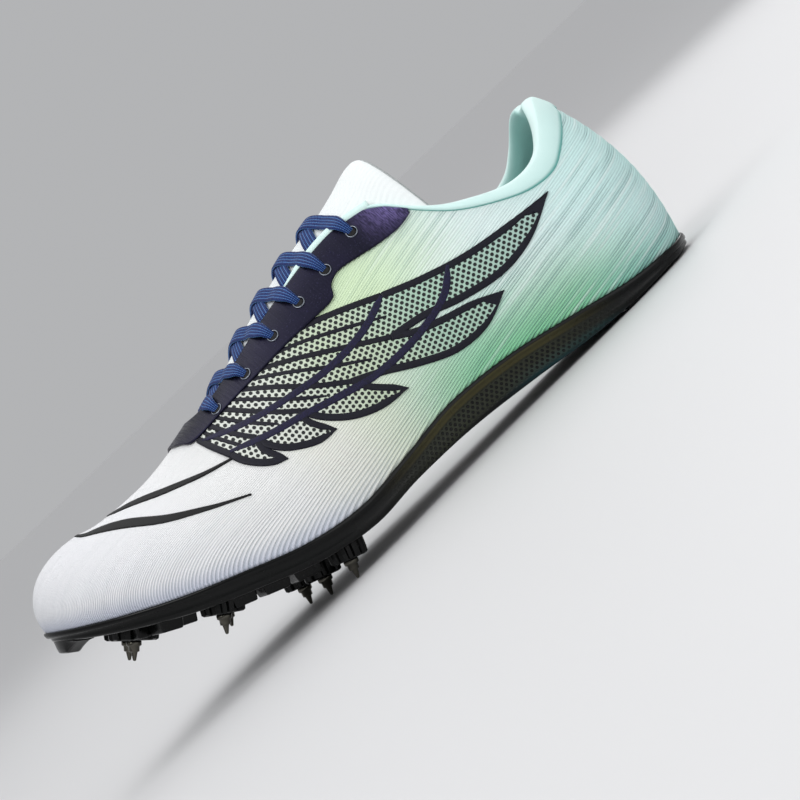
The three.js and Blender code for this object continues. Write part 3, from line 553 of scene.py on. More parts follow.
def roll_look():
    """Smooth padded jersey. The map's V runs once round the roll."""
    look = Look("Padded jersey", rough=0.8, Sheen_Weight=0.2, Sheen_Roughness=0.5, Specular_IOR_Level=0.2)
    _, v, _ = look.split(look.uv)
    grain = look.noise(look.at, 3000, 2.0)
    # Round the roll: white over the top, teal towards the groove at its outer foot and down its inner side;
    # the teal is partly the jersey's and lining's own colour, partly painted shade in the groove and low on
    # the inner side.
    shade = look.ramp(look.math("FRACT", v), [
        (0.0, srgb(54, 132, 126)), (0.1, srgb(84, 166, 158)), (0.15, srgb(208, 238, 234)),
        (0.45, srgb(222, 243, 240)), (0.62, srgb(150, 210, 202)), (1.0, srgb(84, 160, 154))])
    soft = look.noise(look.at, 90, 2.0)
    return look.finish(look.colour(look.times(soft, 0.18), shade, srgb(182, 222, 216)), None,
                       [(soft, 0.5), (grain, 0.07)])


def tongue_look():
    look = Look("Tongue jersey", rough=0.7, Sheen_Weight=0.2)
    grain = look.noise(look.at, 2600, 2.0)
    _, y, _ = look.split(look.at)
    rib = look.math("SINE", look.times(y, 2 * math.pi / 0.0011))
    shade = look.colour(grain, srgb(226, 232, 232), srgb(240, 243, 243))
    return look.finish(shade, None, [(grain, 0.04), (rib, 0.05)])


def binding_look():
    look = Look("Knit binding", rough=0.85)
    u, _, _ = look.split(look.uv)
    rib = look.math("SINE", look.times(u, UV_SCALE * 2 * math.pi / 1.3))
    speck = look.noise(look.at, 1500, 2.0)
    shade = look.colour(look.band(speck, 0.35, 0.65), srgb(178, 184, 184), srgb(206, 211, 210))
    return look.finish(shade, None, [(rib, 0.2), (speck, 0.08)])


def piping_look():
    look = Look("Piping jersey", rough=0.65, Sheen_Weight=0.2)
    grain = look.noise(look.at, 2400, 2.0)
    return look.finish(look.colour(grain, srgb(196, 232, 226), srgb(228, 245, 242)), None, [(grain, 0.06)])


def satin_look():
    """Dark film with fine specks and a brushed sheen, and a violet highlight with fine lines painted on at
    the top corner.
    """
    look = Look("Dark satin film", rough=0.4, Specular_IOR_Level=0.3, Specular_Tint=srgb(200, 196, 255))
    x, y, z = look.split(look.at)
    speck = look.band(look.noise(look.at, 1500, 1.0), 0.62, 0.72)
    brushed = look.noise(look.join(look.times(x, 2200), look.times(y, 120), look.times(z, 120)), 1.0, 2.0)
    shade = look.colour(look.band(look.noise(look.at, 60, 2.0), 0.35, 0.7), srgb(7, 8, 14), srgb(12, 11, 26))
    shade = look.colour(look.times(speck, 0.22), shade, srgb(52, 48, 92))
    fine = look.noise(look.join(look.times(x, 3000), look.times(y, 200), look.times(z, 500)), 1.0, 2.0)
    # Painted highlight: a violet patch with fine brushed lines at the top corner of the eyestay.
    corner = look.times(look.band(x, 0.068, 0.044), look.band(z, 0.074, 0.086))
    gleam = look.times(corner, look.band(fine, 0.36, 0.64, (0.25, 1.0)))
    shade = look.colour(look.times(gleam, 0.75), shade, srgb(150, 134, 204))
    return look.finish(shade, look.band(brushed, 0.2, 0.8, (0.26, 0.5)), [(brushed, 0.05), (speck, 0.05)])


def print_look(name, a, b):
    """Raised print of the wing's outlines and of the strokes on the toe."""
    look = Look(name, rough=0.5, Specular_IOR_Level=0.25)
    speck = look.noise(look.at, 2200, 2.0)
    return look.finish(look.colour(look.band(speck, 0.3, 0.7), a, b), None, [(speck, 0.05)])


def mesh_look():
    """Pale open mesh with staggered dark holes. The map is in millimetres along and across a feather."""
    look = Look("Feather mesh", rough=0.66)
    u, v, _ = look.split(look.uv)
    pitch, tall = 2.3, 0.62
    u = look.times(u, UV_SCALE / pitch)
    v = look.times(v, UV_SCALE / (pitch * tall))
    hole = look.dots(u, v, tall, 0.74 / pitch, 0.52 / pitch)
    x, _, _ = look.split(look.at)
    pale = look.ramp(look.band(x, 0.0, 0.15), [
        (0.0, srgb(176, 206, 196)), (0.4, srgb(176, 208, 188)), (0.75, srgb(204, 218, 190)),
        (1.0, srgb(226, 228, 220))])
    thread = look.noise(look.at, 2400, 2.0)
    pale = look.colour(look.times(thread, 0.4), pale, srgb(120, 146, 136))
    height = look.math("SUBTRACT", 1.0, hole)
    return look.finish(look.colour(hole, pale, srgb(10, 16, 18)), None, [(height, 0.35), (thread, 0.1)])


def lace_look():
    """Flat woven lace. U is the length and V the way across, both in millimetres."""
    look = Look("Woven lace", rough=0.62, Sheen_Weight=0.05, Specular_IOR_Level=0.3)
    u, v, _ = look.split(look.uv)
    u, v = look.times(u, UV_SCALE), look.times(v, UV_SCALE)
    cord_line = look.math("ABSOLUTE", look.math("SINE", look.times(v, math.pi / 1.2)))
    chevron = look.math("SINE", look.plus(look.times(u, 2 * math.pi / 0.8), look.times(cord_line, 2.4)))
    light = look.times(look.band(cord_line, 0.93, 1.0), look.band(chevron, -0.9, 0.4, (0.35, 1.0)))
    shade = look.colour(look.noise(look.at, 900, 2.0), srgb(4, 24, 74), srgb(8, 48, 120))
    shade = look.colour(look.times(light, 0.75), shade, srgb(110, 170, 236))
    return look.finish(shade, None, [(chevron, 0.12)])


def plate_look():
    """Dark translucent plastic, glossy, greenish where it thins over the arch."""
    look = Look("Plate", rough=0.24, Specular_IOR_Level=0.2)
    u, v, _ = look.split(look.uv)
    x, _, _ = look.split(look.at)
    drop = look.times(v, UV_SCALE)
    arch = look.times(look.band(x, 0.012, 0.05), look.band(x, 0.13, 0.09))
    lip = look.times(arch, look.times(look.band(drop, 0.4, 1.2), look.band(drop, 3.8, 2.8)))
    shade = look.colour(look.times(lip, 0.75), srgb(5, 6, 6), srgb(70, 66, 38))
    low_waist = look.times(look.band(x, 0.075, 0.045), look.band(drop, 6.0, 9.0))
    teal = look.times(look.band(x, 0.0, 0.03), low_waist)
    shade = look.colour(look.times(teal, 0.6), shade, srgb(18, 60, 66))
    scuff = look.noise(look.at, 120, 3.0)
    dot = look.dots(look.times(u, UV_SCALE / 2.2), look.times(drop, 1 / 1.35), 0.6, 0.28, 0.18)
    within = look.times(look.band(drop, 3.4, 4.2), look.band(drop, 10.5, 9.0))
    knurled = look.times(dot, look.times(arch, within))
    wall = look.times(arch, look.times(look.band(drop, 3.0, 4.0), look.band(drop, 11.0, 9.0)))
    shade = look.colour(look.times(wall, 0.5), shade, srgb(52, 56, 42))
    shade = look.colour(knurled, shade, srgb(6, 8, 8))
    return look.finish(shade, look.band(scuff, 0.3, 0.75, (0.12, 0.34)), [(knurled, -0.4), (scuff, 0.05)])


def metal_look(name, colour, rough):
    look = Look(name, rough=rough, metallic=1.0)
    grain = look.noise(look.at, 500, 2.0)
    return look.finish(look.colour(look.times(grain, 0.35), colour, srgb(70, 66, 56)),
                       look.band(grain, 0.2, 0.8, (rough * 0.7, rough * 1.5)), [(grain, 0.03)])


def insole_look():
    look = Look("Sock liner", rough=0.9)
    x, y, _ = look.split(look.at)
    weave = look.times(look.math("SINE", look.times(x, 2 * math.pi / 0.0014)),
                       look.math("SINE", look.times(y, 2 * math.pi / 0.0014)))
    grain = look.noise(look.at, 900, 2.0)
    shade = look.colour(grain, srgb(22, 30, 32), srgb(46, 56, 58))
    return look.finish(shade, None, [(weave, 0.25), (grain, 0.12)])


def thread_look():
    look = Look("Teal thread", rough=0.6)
    u, _, _ = look.split(look.uv)
    twist = look.math("SINE", look.times(u, UV_SCALE * 2 * math.pi / 0.7))
    return look.finish(look.colour(look.band(twist, -1, 1), srgb(52, 132, 128), srgb(104, 184, 176)), None,
                       [(twist, 0.08)])


knit, lining, jersey, satin = knit_look(), lining_look(), roll_look(), satin_look()
navy_print = print_look("Navy print", srgb(7, 8, 18), srgb(15, 15, 32))
violet_print = print_look("Violet print", srgb(13, 12, 32), srgb(27, 24, 62))
# Black print for the toe strokes; the same material is the painted shade in the eyelet holes.
black_print_and_hole_shade = print_look("Black print", srgb(4, 4, 5), srgb(8, 8, 10))
feather_mesh, lace_weave, plate_plastic = mesh_look(), lace_look(), plate_look()
steel = metal_look("Spike steel", srgb(86, 84, 78), 0.12)
silver = metal_look("Eyelet metal", srgb(128, 134, 144), 0.25)
sock_liner, teal_thread, tongue_jersey = insole_look(), thread_look(), tongue_look()
edge_binding, piping_jersey = binding_look(), piping_look()


# Upper

KNIT_ALONG, KNIT_UP = 320, 72
RIB_FALL = [(0, 11), (50, 9), (110, 11), (170, 6), (300, 6)]  # run along the sole's edge in mm, degrees
RIB_TURN = 1.2  # how strongly the ribs turn down over the toe
RIB_FAN, RIB_FAN_DEPTH = 5.0, 14.0  # how far and how deep they spread beside the sole of the forefoot


def rib_lines(p, rise, side):
    """A value in millimetres whose level lines are the ribs: they fall to the toe and turn down over it."""
    sole = p[:, :1]
    steps = np.linalg.norm(np.diff(sole[:, 0, :2], axis=0), axis=1)
    run = np.concatenate([[0], np.cumsum(steps)])
    at, degrees = np.array(RIB_FALL, float).T
    fall = np.tan(np.radians(np.interp(run, at, degrees)))
    lost = np.concatenate([[0], np.cumsum((fall[1:] + fall[:-1]) / 2 * steps)])
    toe = smooth(60, 150, p[..., 0])
    half = np.abs(p[..., 1] - crest_y(p[..., 0]))
    aside = np.maximum.accumulate(half[:, :1], axis=0) - half
    fan = RIB_FAN * smooth(100, 200, run)[:, None] * np.exp(-rise / RIB_FAN_DEPTH)
    lines = mix(rise + sole[..., 2], p[..., 2], toe) + lost[:, None] + RIB_TURN * toe * aside + fan
    return lines, np.broadcast_to(run[:, None] * side, rise.shape)


def knit_top(s, side):
    """How far up the knit reaches: to the topline, or to the edge of the throat."""
    def inside(v):
        p = skin(s, side, v)
        below = p[..., 2] < np.interp(p[..., 0], topline_x, topline_z)
        beside = np.abs(p[..., 1] - crest_y(p[..., 0])) > throat_at(p[..., 0])
        clear = (p[..., 2] < 60) | (p[..., 0] > throat_x[-1]) | (p[..., 0] < throat_x[0] - 4)
        return below & (beside | clear)
    return last_that(inside, np.zeros_like(s), np.ones_like(s))


def soft_dent(p, centre, reach, depth):
    """A soft trough or, with a negative depth, a ridge: how far the skin sinks at p."""
    d = (p - np.array(centre)) / np.array(reach)
    return depth * np.exp(-(d**2).sum(-1))


def knit_relief(p, across):
    """The knit's soft creases and its broad, uneven ribs, as a height in millimetres."""
    sink = soft_dent(p, (150, 30, 60), (9, 16, 20), 0.5) + soft_dent(p, (150, -32, 58), (9, 16, 20), 0.5)
    sink += soft_dent(p, (163, 24, 66), (6, 18, 12), 0.35) + soft_dent(p, (164, -34, 62), (6, 18, 12), 0.4)
    sink += soft_dent(p, (36, 31, 58), (16, 10, 5), 0.5) + soft_dent(p, (34, -31, 57), (16, 10, 5), 0.5)
    sink += soft_dent(p, (-2, 33, 40), (16, 10, 7), -0.4) + soft_dent(p, (-2, -33, 40), (16, 10, 7), -0.4)
    sink += soft_dent(p, (205, 24, 52), (12, 14, 10), -0.3) + soft_dent(p, (205, -30, 52), (12, 14, 10), -0.3)
    heel = 1 - smooth(0, 90, p[..., 0])
    bands = np.sin(across * 1.13 + 0.02 * p[..., 0]) + 0.7 * np.sin(across * 2.31 + 1.3 + 0.035 * p[..., 0])
    return -sink + (0.02 + 0.035 * heel) * bands


def make_knit():
    points, faces, uvs = [], [], []
    for side in (1, -1):
        s = np.linspace(0, LAST, KNIT_ALONG)
        top = knit_top(s, side)
        share = np.linspace(0, 1, KNIT_UP)
        v = top[:, None] * share[None, :]
        p = skin(s[:, None] + 0 * v, side, v)
        rise = np.concatenate([np.zeros((KNIT_ALONG, 1)),
                               np.cumsum(np.linalg.norm(np.diff(p, axis=1), axis=2), axis=1)], 1)
        across, run = rib_lines(p, rise, side)
        du, dv = np.gradient(p, axis=0), np.gradient(p, axis=1)
        normal = np.cross(du, dv)
        normal /= np.maximum(np.linalg.norm(normal, axis=2, keepdims=True), 1e-9)
        if side * normal[KNIT_ALONG // 2, KNIT_UP // 4, 1] < 0:
            normal = -normal
        edge = smooth(0, 0.06, share)[None, :, None] * smooth(1, 0.93, share)[None, :, None]
        ends = (smooth(0, 0.35, s) * smooth(LAST, LAST - 0.3, s))[:, None, None]
        p = p + normal * (knit_relief(p, across)[..., None] * edge * ends)
        p[:, 0, 2] -= 2 * GAP
        faces += grid_faces(KNIT_ALONG, KNIT_UP, first=len(points), flip=side > 0)
        points += list(p.reshape(-1, 3))
        uvs += list(np.stack([run, across], -1).reshape(-1, 2) / UV_SCALE)
    mesh = to_mesh("upper_knit", points, faces, uvs)
    piece = make_piece("upper_knit", weld(mesh), [knit, lining], ["upper"])
    return solidify(piece, UPPER_WALL, inner=1, rim=0)


make_knit()


# Sheets and ribbons that lie on the skin

def on_side(x, z, lift):
    point, normal = from_side(x, z)
    return np.array(point + normal * lift)


def patch(name, outline, lift, thickness, look, cell=1.2, turn=0.0):
    """A thin sheet on the skin inside an outline that is seen from the side, as pairs (x, z)."""
    ring = [Vector(p) for p in outline]
    low, high = np.min(outline, 0), np.max(outline, 0)
    inner = [Vector((x, z)) for x in np.arange(low[0] + cell / 2, high[0], cell)
             for z in np.arange(low[1] + cell / 2, high[1], cell)]
    edges = [(i, (i + 1) % len(ring)) for i in range(len(ring))]
    flat, _, faces, *_ = delaunay_2d_cdt(ring + inner, edges, [], 1, 1e-4)
    turned = Matrix.Rotation(turn, 2)
    points = [on_side(p.x, p.y, lift) for p in flat]
    uv = [tuple((turned @ p) / UV_SCALE) for p in flat]
    piece = make_piece(name, weld(to_mesh(name, points, faces, uv), 0.001), look)
    return solidify(piece, thickness, offset=0)


def ribbon(name, path, widths, height, look, lift=0.3):
    """A raised strip along a path of (point, normal) pairs, with a rounded section."""
    at = np.array([np.array(p) for p, _ in path])
    normals = np.array([np.array(n) for _, n in path])
    run = np.gradient(at, axis=0)
    run /= np.linalg.norm(run, axis=1, keepdims=True)
    sideways = np.cross(normals, run)
    sideways /= np.linalg.norm(sideways, axis=1, keepdims=True)
    places = np.array([-1, -0.94, -0.7, -0.3, 0.3, 0.7, 0.94, 1])
    rows = len(places)
    domes = (1 - np.abs(places) ** 8) * height + lift
    domes[0] = domes[-1] = -0.35
    length = np.concatenate([[0], np.cumsum(np.linalg.norm(np.diff(at, axis=0), axis=1))])
    half = np.asarray(widths)[:, None, None] / 2
    grid = at[:, None] + sideways[:, None] * places[None, :, None] * half
    grid = grid + normals[:, None] * domes[None, :, None]
    low = at - normals * 0.45
    points = np.concatenate([grid.reshape(-1, 3), low])
    count = len(at)
    faces = grid_faces(count, rows)
    base = count * rows
    for i in range(count - 1):
        faces.append((i * rows, (i + 1) * rows, base + i + 1, base + i))
        faces.append((base + i, base + i + 1, (i + 1) * rows + rows - 1, i * rows + rows - 1))
    faces.append(tuple(range(rows)) + (base,))
    faces.append(tuple(reversed(range((count - 1) * rows, count * rows))) + (base + count - 1,))
    across = places[None, :] * half[:, :, 0]
    uv = np.stack([np.repeat(length[:, None], rows, 1), across], -1).reshape(-1, 2)
    uv = np.concatenate([uv, np.stack([length, 0 * length], -1)]) / UV_SCALE
    return make_piece(name, reworked(to_mesh(name, points, faces, uv)), look)


def side_path(points, count):
    """A path on the skin through pairs (x, z) that are seen from the side."""
    return [from_side(x, z) for x, z in catmull(points, count)]


def snapped_path(points, count):
    """A path on the skin along a curve through points near it."""
    return [nearest(p) for p in catmull(points, count)]


def tapered(count, most, start=0.15, end=0.15, least=0.25, tip=None):
    t = np.linspace(0, 1, count)
    tip = least if tip is None else tip
    first = least + (1 - least) * smooth(0, start, t)
    last = tip + (1 - tip) * smooth(1, 1 - end, t)
    return most * np.minimum(first, last)


# Wing on the lateral side: dividing lines run from the eyestay to a node, and each feather goes on to
# its tip.
# Pairs are (x, z), seen from the side.
DIVIDERS = [
    [(117, 77), (104, 75.2), (90, 70.2), (76, 64)],
    [(126, 76), (113, 69), (99, 60.5), (84, 51.5)],
    [(134, 75), (125, 67), (115, 57.5), (105, 50)],
    [(142, 73.5), (136, 66), (130, 59.5), (125, 55)],
    [(149, 72.5), (147, 67), (144.5, 62.5), (142, 59)],
    [(155, 71.6), (154.4, 68), (153.2, 64), (152, 60.5)],
]
UPPER_EDGES = [
    [(76, 64), (62, 58.6), (45, 53.7), (26, 50.8), (8.5, 50)],
    [(84, 51.5), (76, 46.8), (66, 43.2), (55, 40), (44, 36)],
    [(105, 50), (102, 44.6), (97.2, 39.6), (92.3, 35)],
    [(125, 55), (126, 51.4), (124.2, 46.9), (120.8, 42.2)],
    [(142, 59), (143.4, 54.9), (142, 50.3), (139.9, 46.5)],
]
LOWER_EDGES = [
    [(84, 51.5), (70, 49), (57, 44.6), (40, 41.4), (24, 43.4), (8.5, 50)],
    [(105, 50), (95, 45.2), (83, 38.4), (70, 32.8), (56, 32), (44, 36)],
    [(125, 55), (121.3, 48.6), (114.7, 42.4), (106.8, 38.3), (98.8, 36.2), (92.3, 35)],
    [(142, 59), (141, 54.4), (137.4, 49.4), (131, 45.1), (125.7, 43.1), (120.8, 42.2)],
    [(152, 60.5), (150.4, 56), (147, 51.6), (143.4, 48.7), (139.9, 46.5)],
]
CROSS_BANDS = [
    [(52, 55.8), (60, 49.4), (72, 46.2), (86, 45.2), (99, 46.2), (112, 49.4), (125, 53.2), (138, 56.6),
     (151.5, 61.5)],
    [(76, 64), (86, 60.5), (97, 58.8), (109, 58.8), (121, 60.4), (133, 62.8), (144, 66), (154.5, 70.5)],
]
MESH_LIFT, PRINT_HEIGHT = 0.16, 0.22
OUTLINE, LOWER_OUTLINE, DIVIDER, OUTER_DIVIDER, SHAFT, CROSS_BAND = 2.6, 2.7, 2.1, 2.5, 1.6, 2.8  # widths


def line_on_side(name, points, count, widths, height, look):
    ribbon(name, side_path(points, count), widths, height, look)


def make_wing():
    for i in range(5):
        top = list(catmull(DIVIDERS[i], 16)) + list(catmull(UPPER_EDGES[i], 24))[1:]
        low = list(catmull(DIVIDERS[i + 1], 16)) + list(catmull(LOWER_EDGES[i], 24))[1:]
        outline = np.array(top + low[::-1][1:])
        tip, root = outline[len(top) - 1], (outline[0] + outline[-1]) / 2
        turn = -math.atan2(tip[1] - root[1], tip[0] - root[0])
        patch(f"feather_mesh_{i + 1}", outline, MESH_LIFT, 0.3, feather_mesh, turn=turn)
        end = np.concatenate([catmull(UPPER_EDGES[i], 40)[31:], catmull(LOWER_EDGES[i], 40)[:34:-1][1:]])
        patch(f"feather_tip_{i + 1}", end, MESH_LIFT + 0.12, 0.34, navy_print, cell=0.8)
    for i, line in enumerate(DIVIDERS):
        width = OUTER_DIVIDER if i in (0, 5) else DIVIDER
        line_on_side(f"feather_divider_{i + 1}", line, 40, [width] * 40, PRINT_HEIGHT, navy_print)
    for i in range(5):
        line_on_side(f"feather_upper_{i + 1}", UPPER_EDGES[i], 50, tapered(50, OUTLINE, 0.01, 0.3, 0.6, 0.12),
                     PRINT_HEIGHT, navy_print)
        line_on_side(f"feather_lower_{i + 1}", LOWER_EDGES[i], 60,
                     tapered(60, LOWER_OUTLINE, 0.01, 0.3, 0.6, 0.12), PRINT_HEIGHT, navy_print)
        between = (np.array(DIVIDERS[i]) + np.array(DIVIDERS[i + 1])) / 2
        line_on_side(f"feather_shaft_{i + 1}", between, 40, tapered(40, SHAFT, 0.01, 0.3, 0.5), PRINT_HEIGHT,
                     navy_print)
    for i, line in enumerate(CROSS_BANDS):
        line_on_side(f"wing_band_{i + 1}", line, 90, tapered(90, CROSS_BAND, 0.08, 0.08, 0.5),
                     PRINT_HEIGHT + 0.08, violet_print)


TOE_STROKES = [
    ([(151.1, 34.3, 59.3), (164.5, 29.4, 63), (178, 19.4, 68.1), (190, 2.6, 73.1), (194, -10, 74)], 4.0),
    ([(157.5, 41.9, 46.5), (170, 38.5, 52.7), (183.9, 30.4, 60.8), (194.2, 17, 69), (204.3, -2.7, 74.8),
      (208, -13, 75)], 4.8),
]


def make_strokes():
    for i, (points, width) in enumerate(TOE_STROKES):
        ribbon(f"toe_stroke_{i + 1}", snapped_path(points, 90), tapered(90, width, 0.62, 0.35, 0.16), 0.16,
               black_print_and_hole_shade, lift=0.2)


make_wing()
make_strokes()


# Eyestay, as a strip of the skin between its lower edge and the throat

STAY_STRETCH = (2.5, 11.2)  # sections between which the eyestay lies
MEDIAL_MORE = 4.5  # how much broader the medial side is, measured over the skin


def arc_between(s, side, low, high, steps=24):
    """Length along the skin's sections from one height to another."""
    v = mix(low[:, None], high[:, None], np.linspace(0, 1, steps)[None, :])
    p = skin(s[:, None] + 0 * v, side, v)
    return np.linalg.norm(np.diff(p, axis=1), axis=2).sum(1)


def make_eyestay():
    points, faces = [], []
    along, up = 260, 26
    for side in (1, -1):
        s = np.linspace(*STAY_STRETCH, along)

        def below(v):
            p = skin(s, side, v)
            reach = np.interp(p[..., 0], stay_x, stay_z)
            return (p[..., 2] < reach) | (p[..., 0] < stay_x[0]) | (p[..., 0] > stay_x[-1])
        low = last_that(below, np.zeros_like(s), np.ones_like(s))

        def short(v):
            p = skin(s, side, v)
            under = p[..., 2] < np.interp(p[..., 0], topline_x, topline_z) - 0.6
            edge = throat_at(p[..., 0])
            beside = np.abs(p[..., 1] - crest_y(p[..., 0])) > np.where(edge > 0.01, edge + 0.5, -1)
            return under & (beside | (p[..., 2] < 60))
        high = last_that(short, np.zeros_like(s), np.ones_like(s))
        if side > 0:
            breadth = np.where(low < high, arc_between(s, side, low, high), 0)
            breadth += MEDIAL_MORE * smooth(0, 6, breadth)
        else:
            low = last_that(lambda v: arc_between(s, side, v, high) > breadth, np.zeros_like(s), high)
        keep = high - low > 1e-3
        first, last = np.flatnonzero(keep)[[0, -1]]
        s, low, high = s[first:last + 1], low[first:last + 1], high[first:last + 1]
        v = mix(low[:, None], high[:, None], np.linspace(0, 1, up)[None, :])
        p = skin(s[:, None] + 0 * v, side, v)
        faces += grid_faces(len(s), up, first=len(points), flip=side > 0)
        points += list(p.reshape(-1, 3))
    mesh = weld(to_mesh("eyestay_film", points, faces), 0.05)
    for vertex in mesh.vertices:
        vertex.co += vertex.normal * 0.35 * MM
    piece = make_piece("eyestay_film", mesh, satin, ["eyestay"])
    solidify(piece, 0.75, offset=1)
    return piece


make_eyestay()


# Collar roll

ROLL_END = 5.0
ROLL_CENTRE = 3.0  # the roll bends round the heel about this place on the centre line


def topline_share(s, side):
    def below(v):
        p = skin(s, side, v)
        return p[..., 2] < np.interp(p[..., 0], topline_x, topline_z)
    return last_that(below, np.zeros_like(s), np.ones_like(s))


def roll_section(s):
    """Control points of the roll's section: out from the skin, up from the edge of the knit."""
    thin = smooth(3.9, 4.7, s)
    lifted = smooth(2.9, 3.9, s)
    from_heel = smooth(0.5, 3, s)
    outside = 0.8 + 6.7 * smooth(0.1, 1.3, s) * smooth(3.7, 1.7, s)
    outside *= smooth(4.2, 3.2, s)
    rise = mix(4.2, 2.2, thin) + 1.6 * smooth(0.9, 0, s)
    deep = mix(5.5, 1.8, thin)
    hang = mix(mix(10, 6, from_heel), -0.5, lifted)
    inner = mix(2.7, 1.26, thin)
    sink = 0.06 * max(hang, 0)
    return np.array([
        (-inner, -outside), (0.2, -outside - 0.3), (1.15, 0.2 * rise - 0.55 * outside), (0.85, 0.62 * rise),
        (0.0, 0.98 * rise),
        (-0.45 * deep, 1.1 * rise), (-0.86 * deep, 0.86 * rise), (-1.05 * deep, 0.1 * rise - 0.25 * hang),
        (-0.9 * deep - sink, -0.75 * hang), (-0.65 * deep - 0.3 * inner - sink, -1.05 * hang),
        (-inner - sink, -0.8 * hang),
    ])


def make_collar_roll(steps=110, around=40):
    rings, uvs = [], []
    length = 0
    for i in range(-steps, steps + 1):
        s, side = abs(i) / steps * ROLL_END, -1 if i < 0 else 1
        at_s = np.array([s])
        v = topline_share(at_s, side)
        step = 0.02
        edge = skin(at_s, side, v)[0]
        rise = (skin(at_s, side, v + step) - skin(at_s, side, v - step))[0]
        speed = np.linalg.norm(rise) / (2 * step)
        rise /= np.linalg.norm(rise)
        ahead = (skin(at_s + step, side, v) - skin(np.maximum(at_s - step, 0), side, v))[0]
        run = np.array([0, side, 0]) if s == 0 else ahead
        away = np.cross(rise, run) * side
        away /= np.linalg.norm(away)
        fan = edge - (ROLL_CENTRE, 0, edge[2])
        away = mix(fan / np.linalg.norm(fan), away, smooth(1.2, 2.8, s))
        away /= np.linalg.norm(away)
        ring = []
        for out, lift in catmull(roll_section(s), around, closed=True):
            base = edge + rise * lift if lift > 0 else skin(at_s, side, v + lift / speed)[0]
            ring.append(base + away * out)
        if rings:
            length += np.linalg.norm(ring[0] - rings[-1][0])
        rings.append(np.array(ring))
        uvs += [(length / UV_SCALE, k / around) for k in range(around)]
    count = len(rings)
    points = np.concatenate(rings + [rings[0].mean(0)[None], rings[-1].mean(0)[None]])
    uvs += [(0, 0.5), (length / UV_SCALE, 0.5)]
    mesh = weld(to_mesh("collar_padding", points, tube_faces(count, around), uvs), 0.001)
    piece = make_piece("collar_padding", mesh, jersey, ["collar_roll"])
    return piece


make_collar_roll()


# Tongue

TONGUE_BACK, TONGUE_FRONT = 4.42, 9.21
BINDING = 3.6


def make_tongue(along=150, over=30):
    """A padded leaf under the laces, bound along its end, with wings that reach the collar."""
    t = np.linspace(0, 1, along) ** 1.15
    tops, lows, shares = [], [], []
    for side in (-1, 1):
        share = np.linspace(1, 0, over) if side < 0 else np.linspace(0, 1, over)[1:]
        back = TONGUE_BACK - 0.08 * share**2
        s = mix(back[None, :], TONGUE_FRONT, t[:, None])

        def off(v):
            p = skin(s, side, v)
            half = np.interp(p[..., 0], tongue_x, tongue_half)
            low = p[..., 2] < np.interp(p[..., 0], topline_x, topline_z) - 3
            return (np.abs(p[..., 1] - crest_y(p[..., 0])) > half) & low
        edge = last_that(off, np.zeros_like(s), np.ones_like(s))
        v = mix(1.0, edge, share[None, :])
        p = skin(s, side, v)
        n = np.array([[tuple(nearest(q)[1]) for q in row] for row in p])
        from_end = np.linalg.norm(p - p[:1], axis=-1)
        from_rim = np.linalg.norm(p - skin(s, side, edge), axis=-1)
        near = np.minimum(np.minimum(from_end, from_rim), 2.4) / 2.4
        thick = 3.2 * np.sqrt(np.maximum(near * (2 - near), 0.0))
        puff = 0.5 * np.sin(math.pi * np.clip(from_end / 24, 0, 1)) * (1 - share[None, :] ** 2)
        rise_end = 1.3 * np.exp(-((from_end - 5) / 9) ** 2) * (1 - share[None, :] ** 2)
        droop = 0.8 * np.exp(-from_end / 2.0) - rise_end
        middle = (-UPPER_WALL - GAP - 1.6 - droop)[..., None]
        tops.append(p + n * (middle + (thick / 2 + puff)[..., None]))
        lows.append(p + n * (middle - (thick / 2 + puff)[..., None]))
        shares.append(np.broadcast_to(from_end, s.shape))
    top, low, ends = (np.concatenate(part, axis=1) for part in (tops, lows, shares))
    cols = top.shape[1]
    points = np.concatenate([top.reshape(-1, 3), low.reshape(-1, 3)])
    faces = grid_faces(along, cols) + grid_faces(along, cols, first=along * cols, flip=True)
    steps = np.linalg.norm(np.diff(top, axis=1), axis=2)
    run = np.concatenate([np.zeros((along, 1)), np.cumsum(steps, axis=1)], 1)
    uv = np.stack([run, ends], -1).reshape(-1, 2) / UV_SCALE
    mesh = weld(to_mesh("tongue_padding", points, faces, np.concatenate([uv, uv])), 0.03)
    reworked(mesh, fill_open_edges)
    piece = make_piece("tongue_padding", mesh, [tongue_jersey, lining, edge_binding], ["tongue"])
    layer = mesh.uv_layers[0].data
    for face in mesh.polygons:
        inside = face.normal.dot(nearest(face.center / MM)[1]) < -0.1
        from_end = sum(layer[k].uv.y for k in face.loop_indices) / face.loop_total * UV_SCALE
        bound = from_end < (BINDING if inside else 1.0)
        face.material_index = 2 if bound else 1 if inside else 0
    return piece


make_tongue()


# Eyelets and laces

def eyelet_place(row, side):
    x = along_x(EYELETS[row][0])
    return from_above(x, crest_y(x) + side * EYELETS[row][1] * BALL_WIDTH)


def turned_to(point, normal):
    """A matrix that puts a thing's Z on the normal, and keeps its X as near the shoe's as it can."""
    z = Vector(normal).normalized()
    x = (Vector((1, 0, 0)) - z * z.x).normalized()
    y = z.cross(x)
    return Matrix.Translation(Vector(point)) @ Matrix((x, y, z)).transposed().to_4x4()


def lathe(profile, around, matrix):
    """Points and faces of a closed ring profile (radius, height) turned round its Z."""
    angles = np.linspace(0, 2 * math.pi, around, endpoint=False)
    points = [matrix @ Vector((r * math.cos(a), r * math.sin(a), h)) for a in angles for r, h in profile]
    count = len(profile)
    faces = []
    for i in range(around):
        for k in range(count):
            a, b = i * count + k, i * count + (k + 1) % count
            n = ((i + 1) % around) * count
            faces.append((a, n + k, n + (k + 1) % count, b))
    return np.array([tuple(p) for p in points]), faces


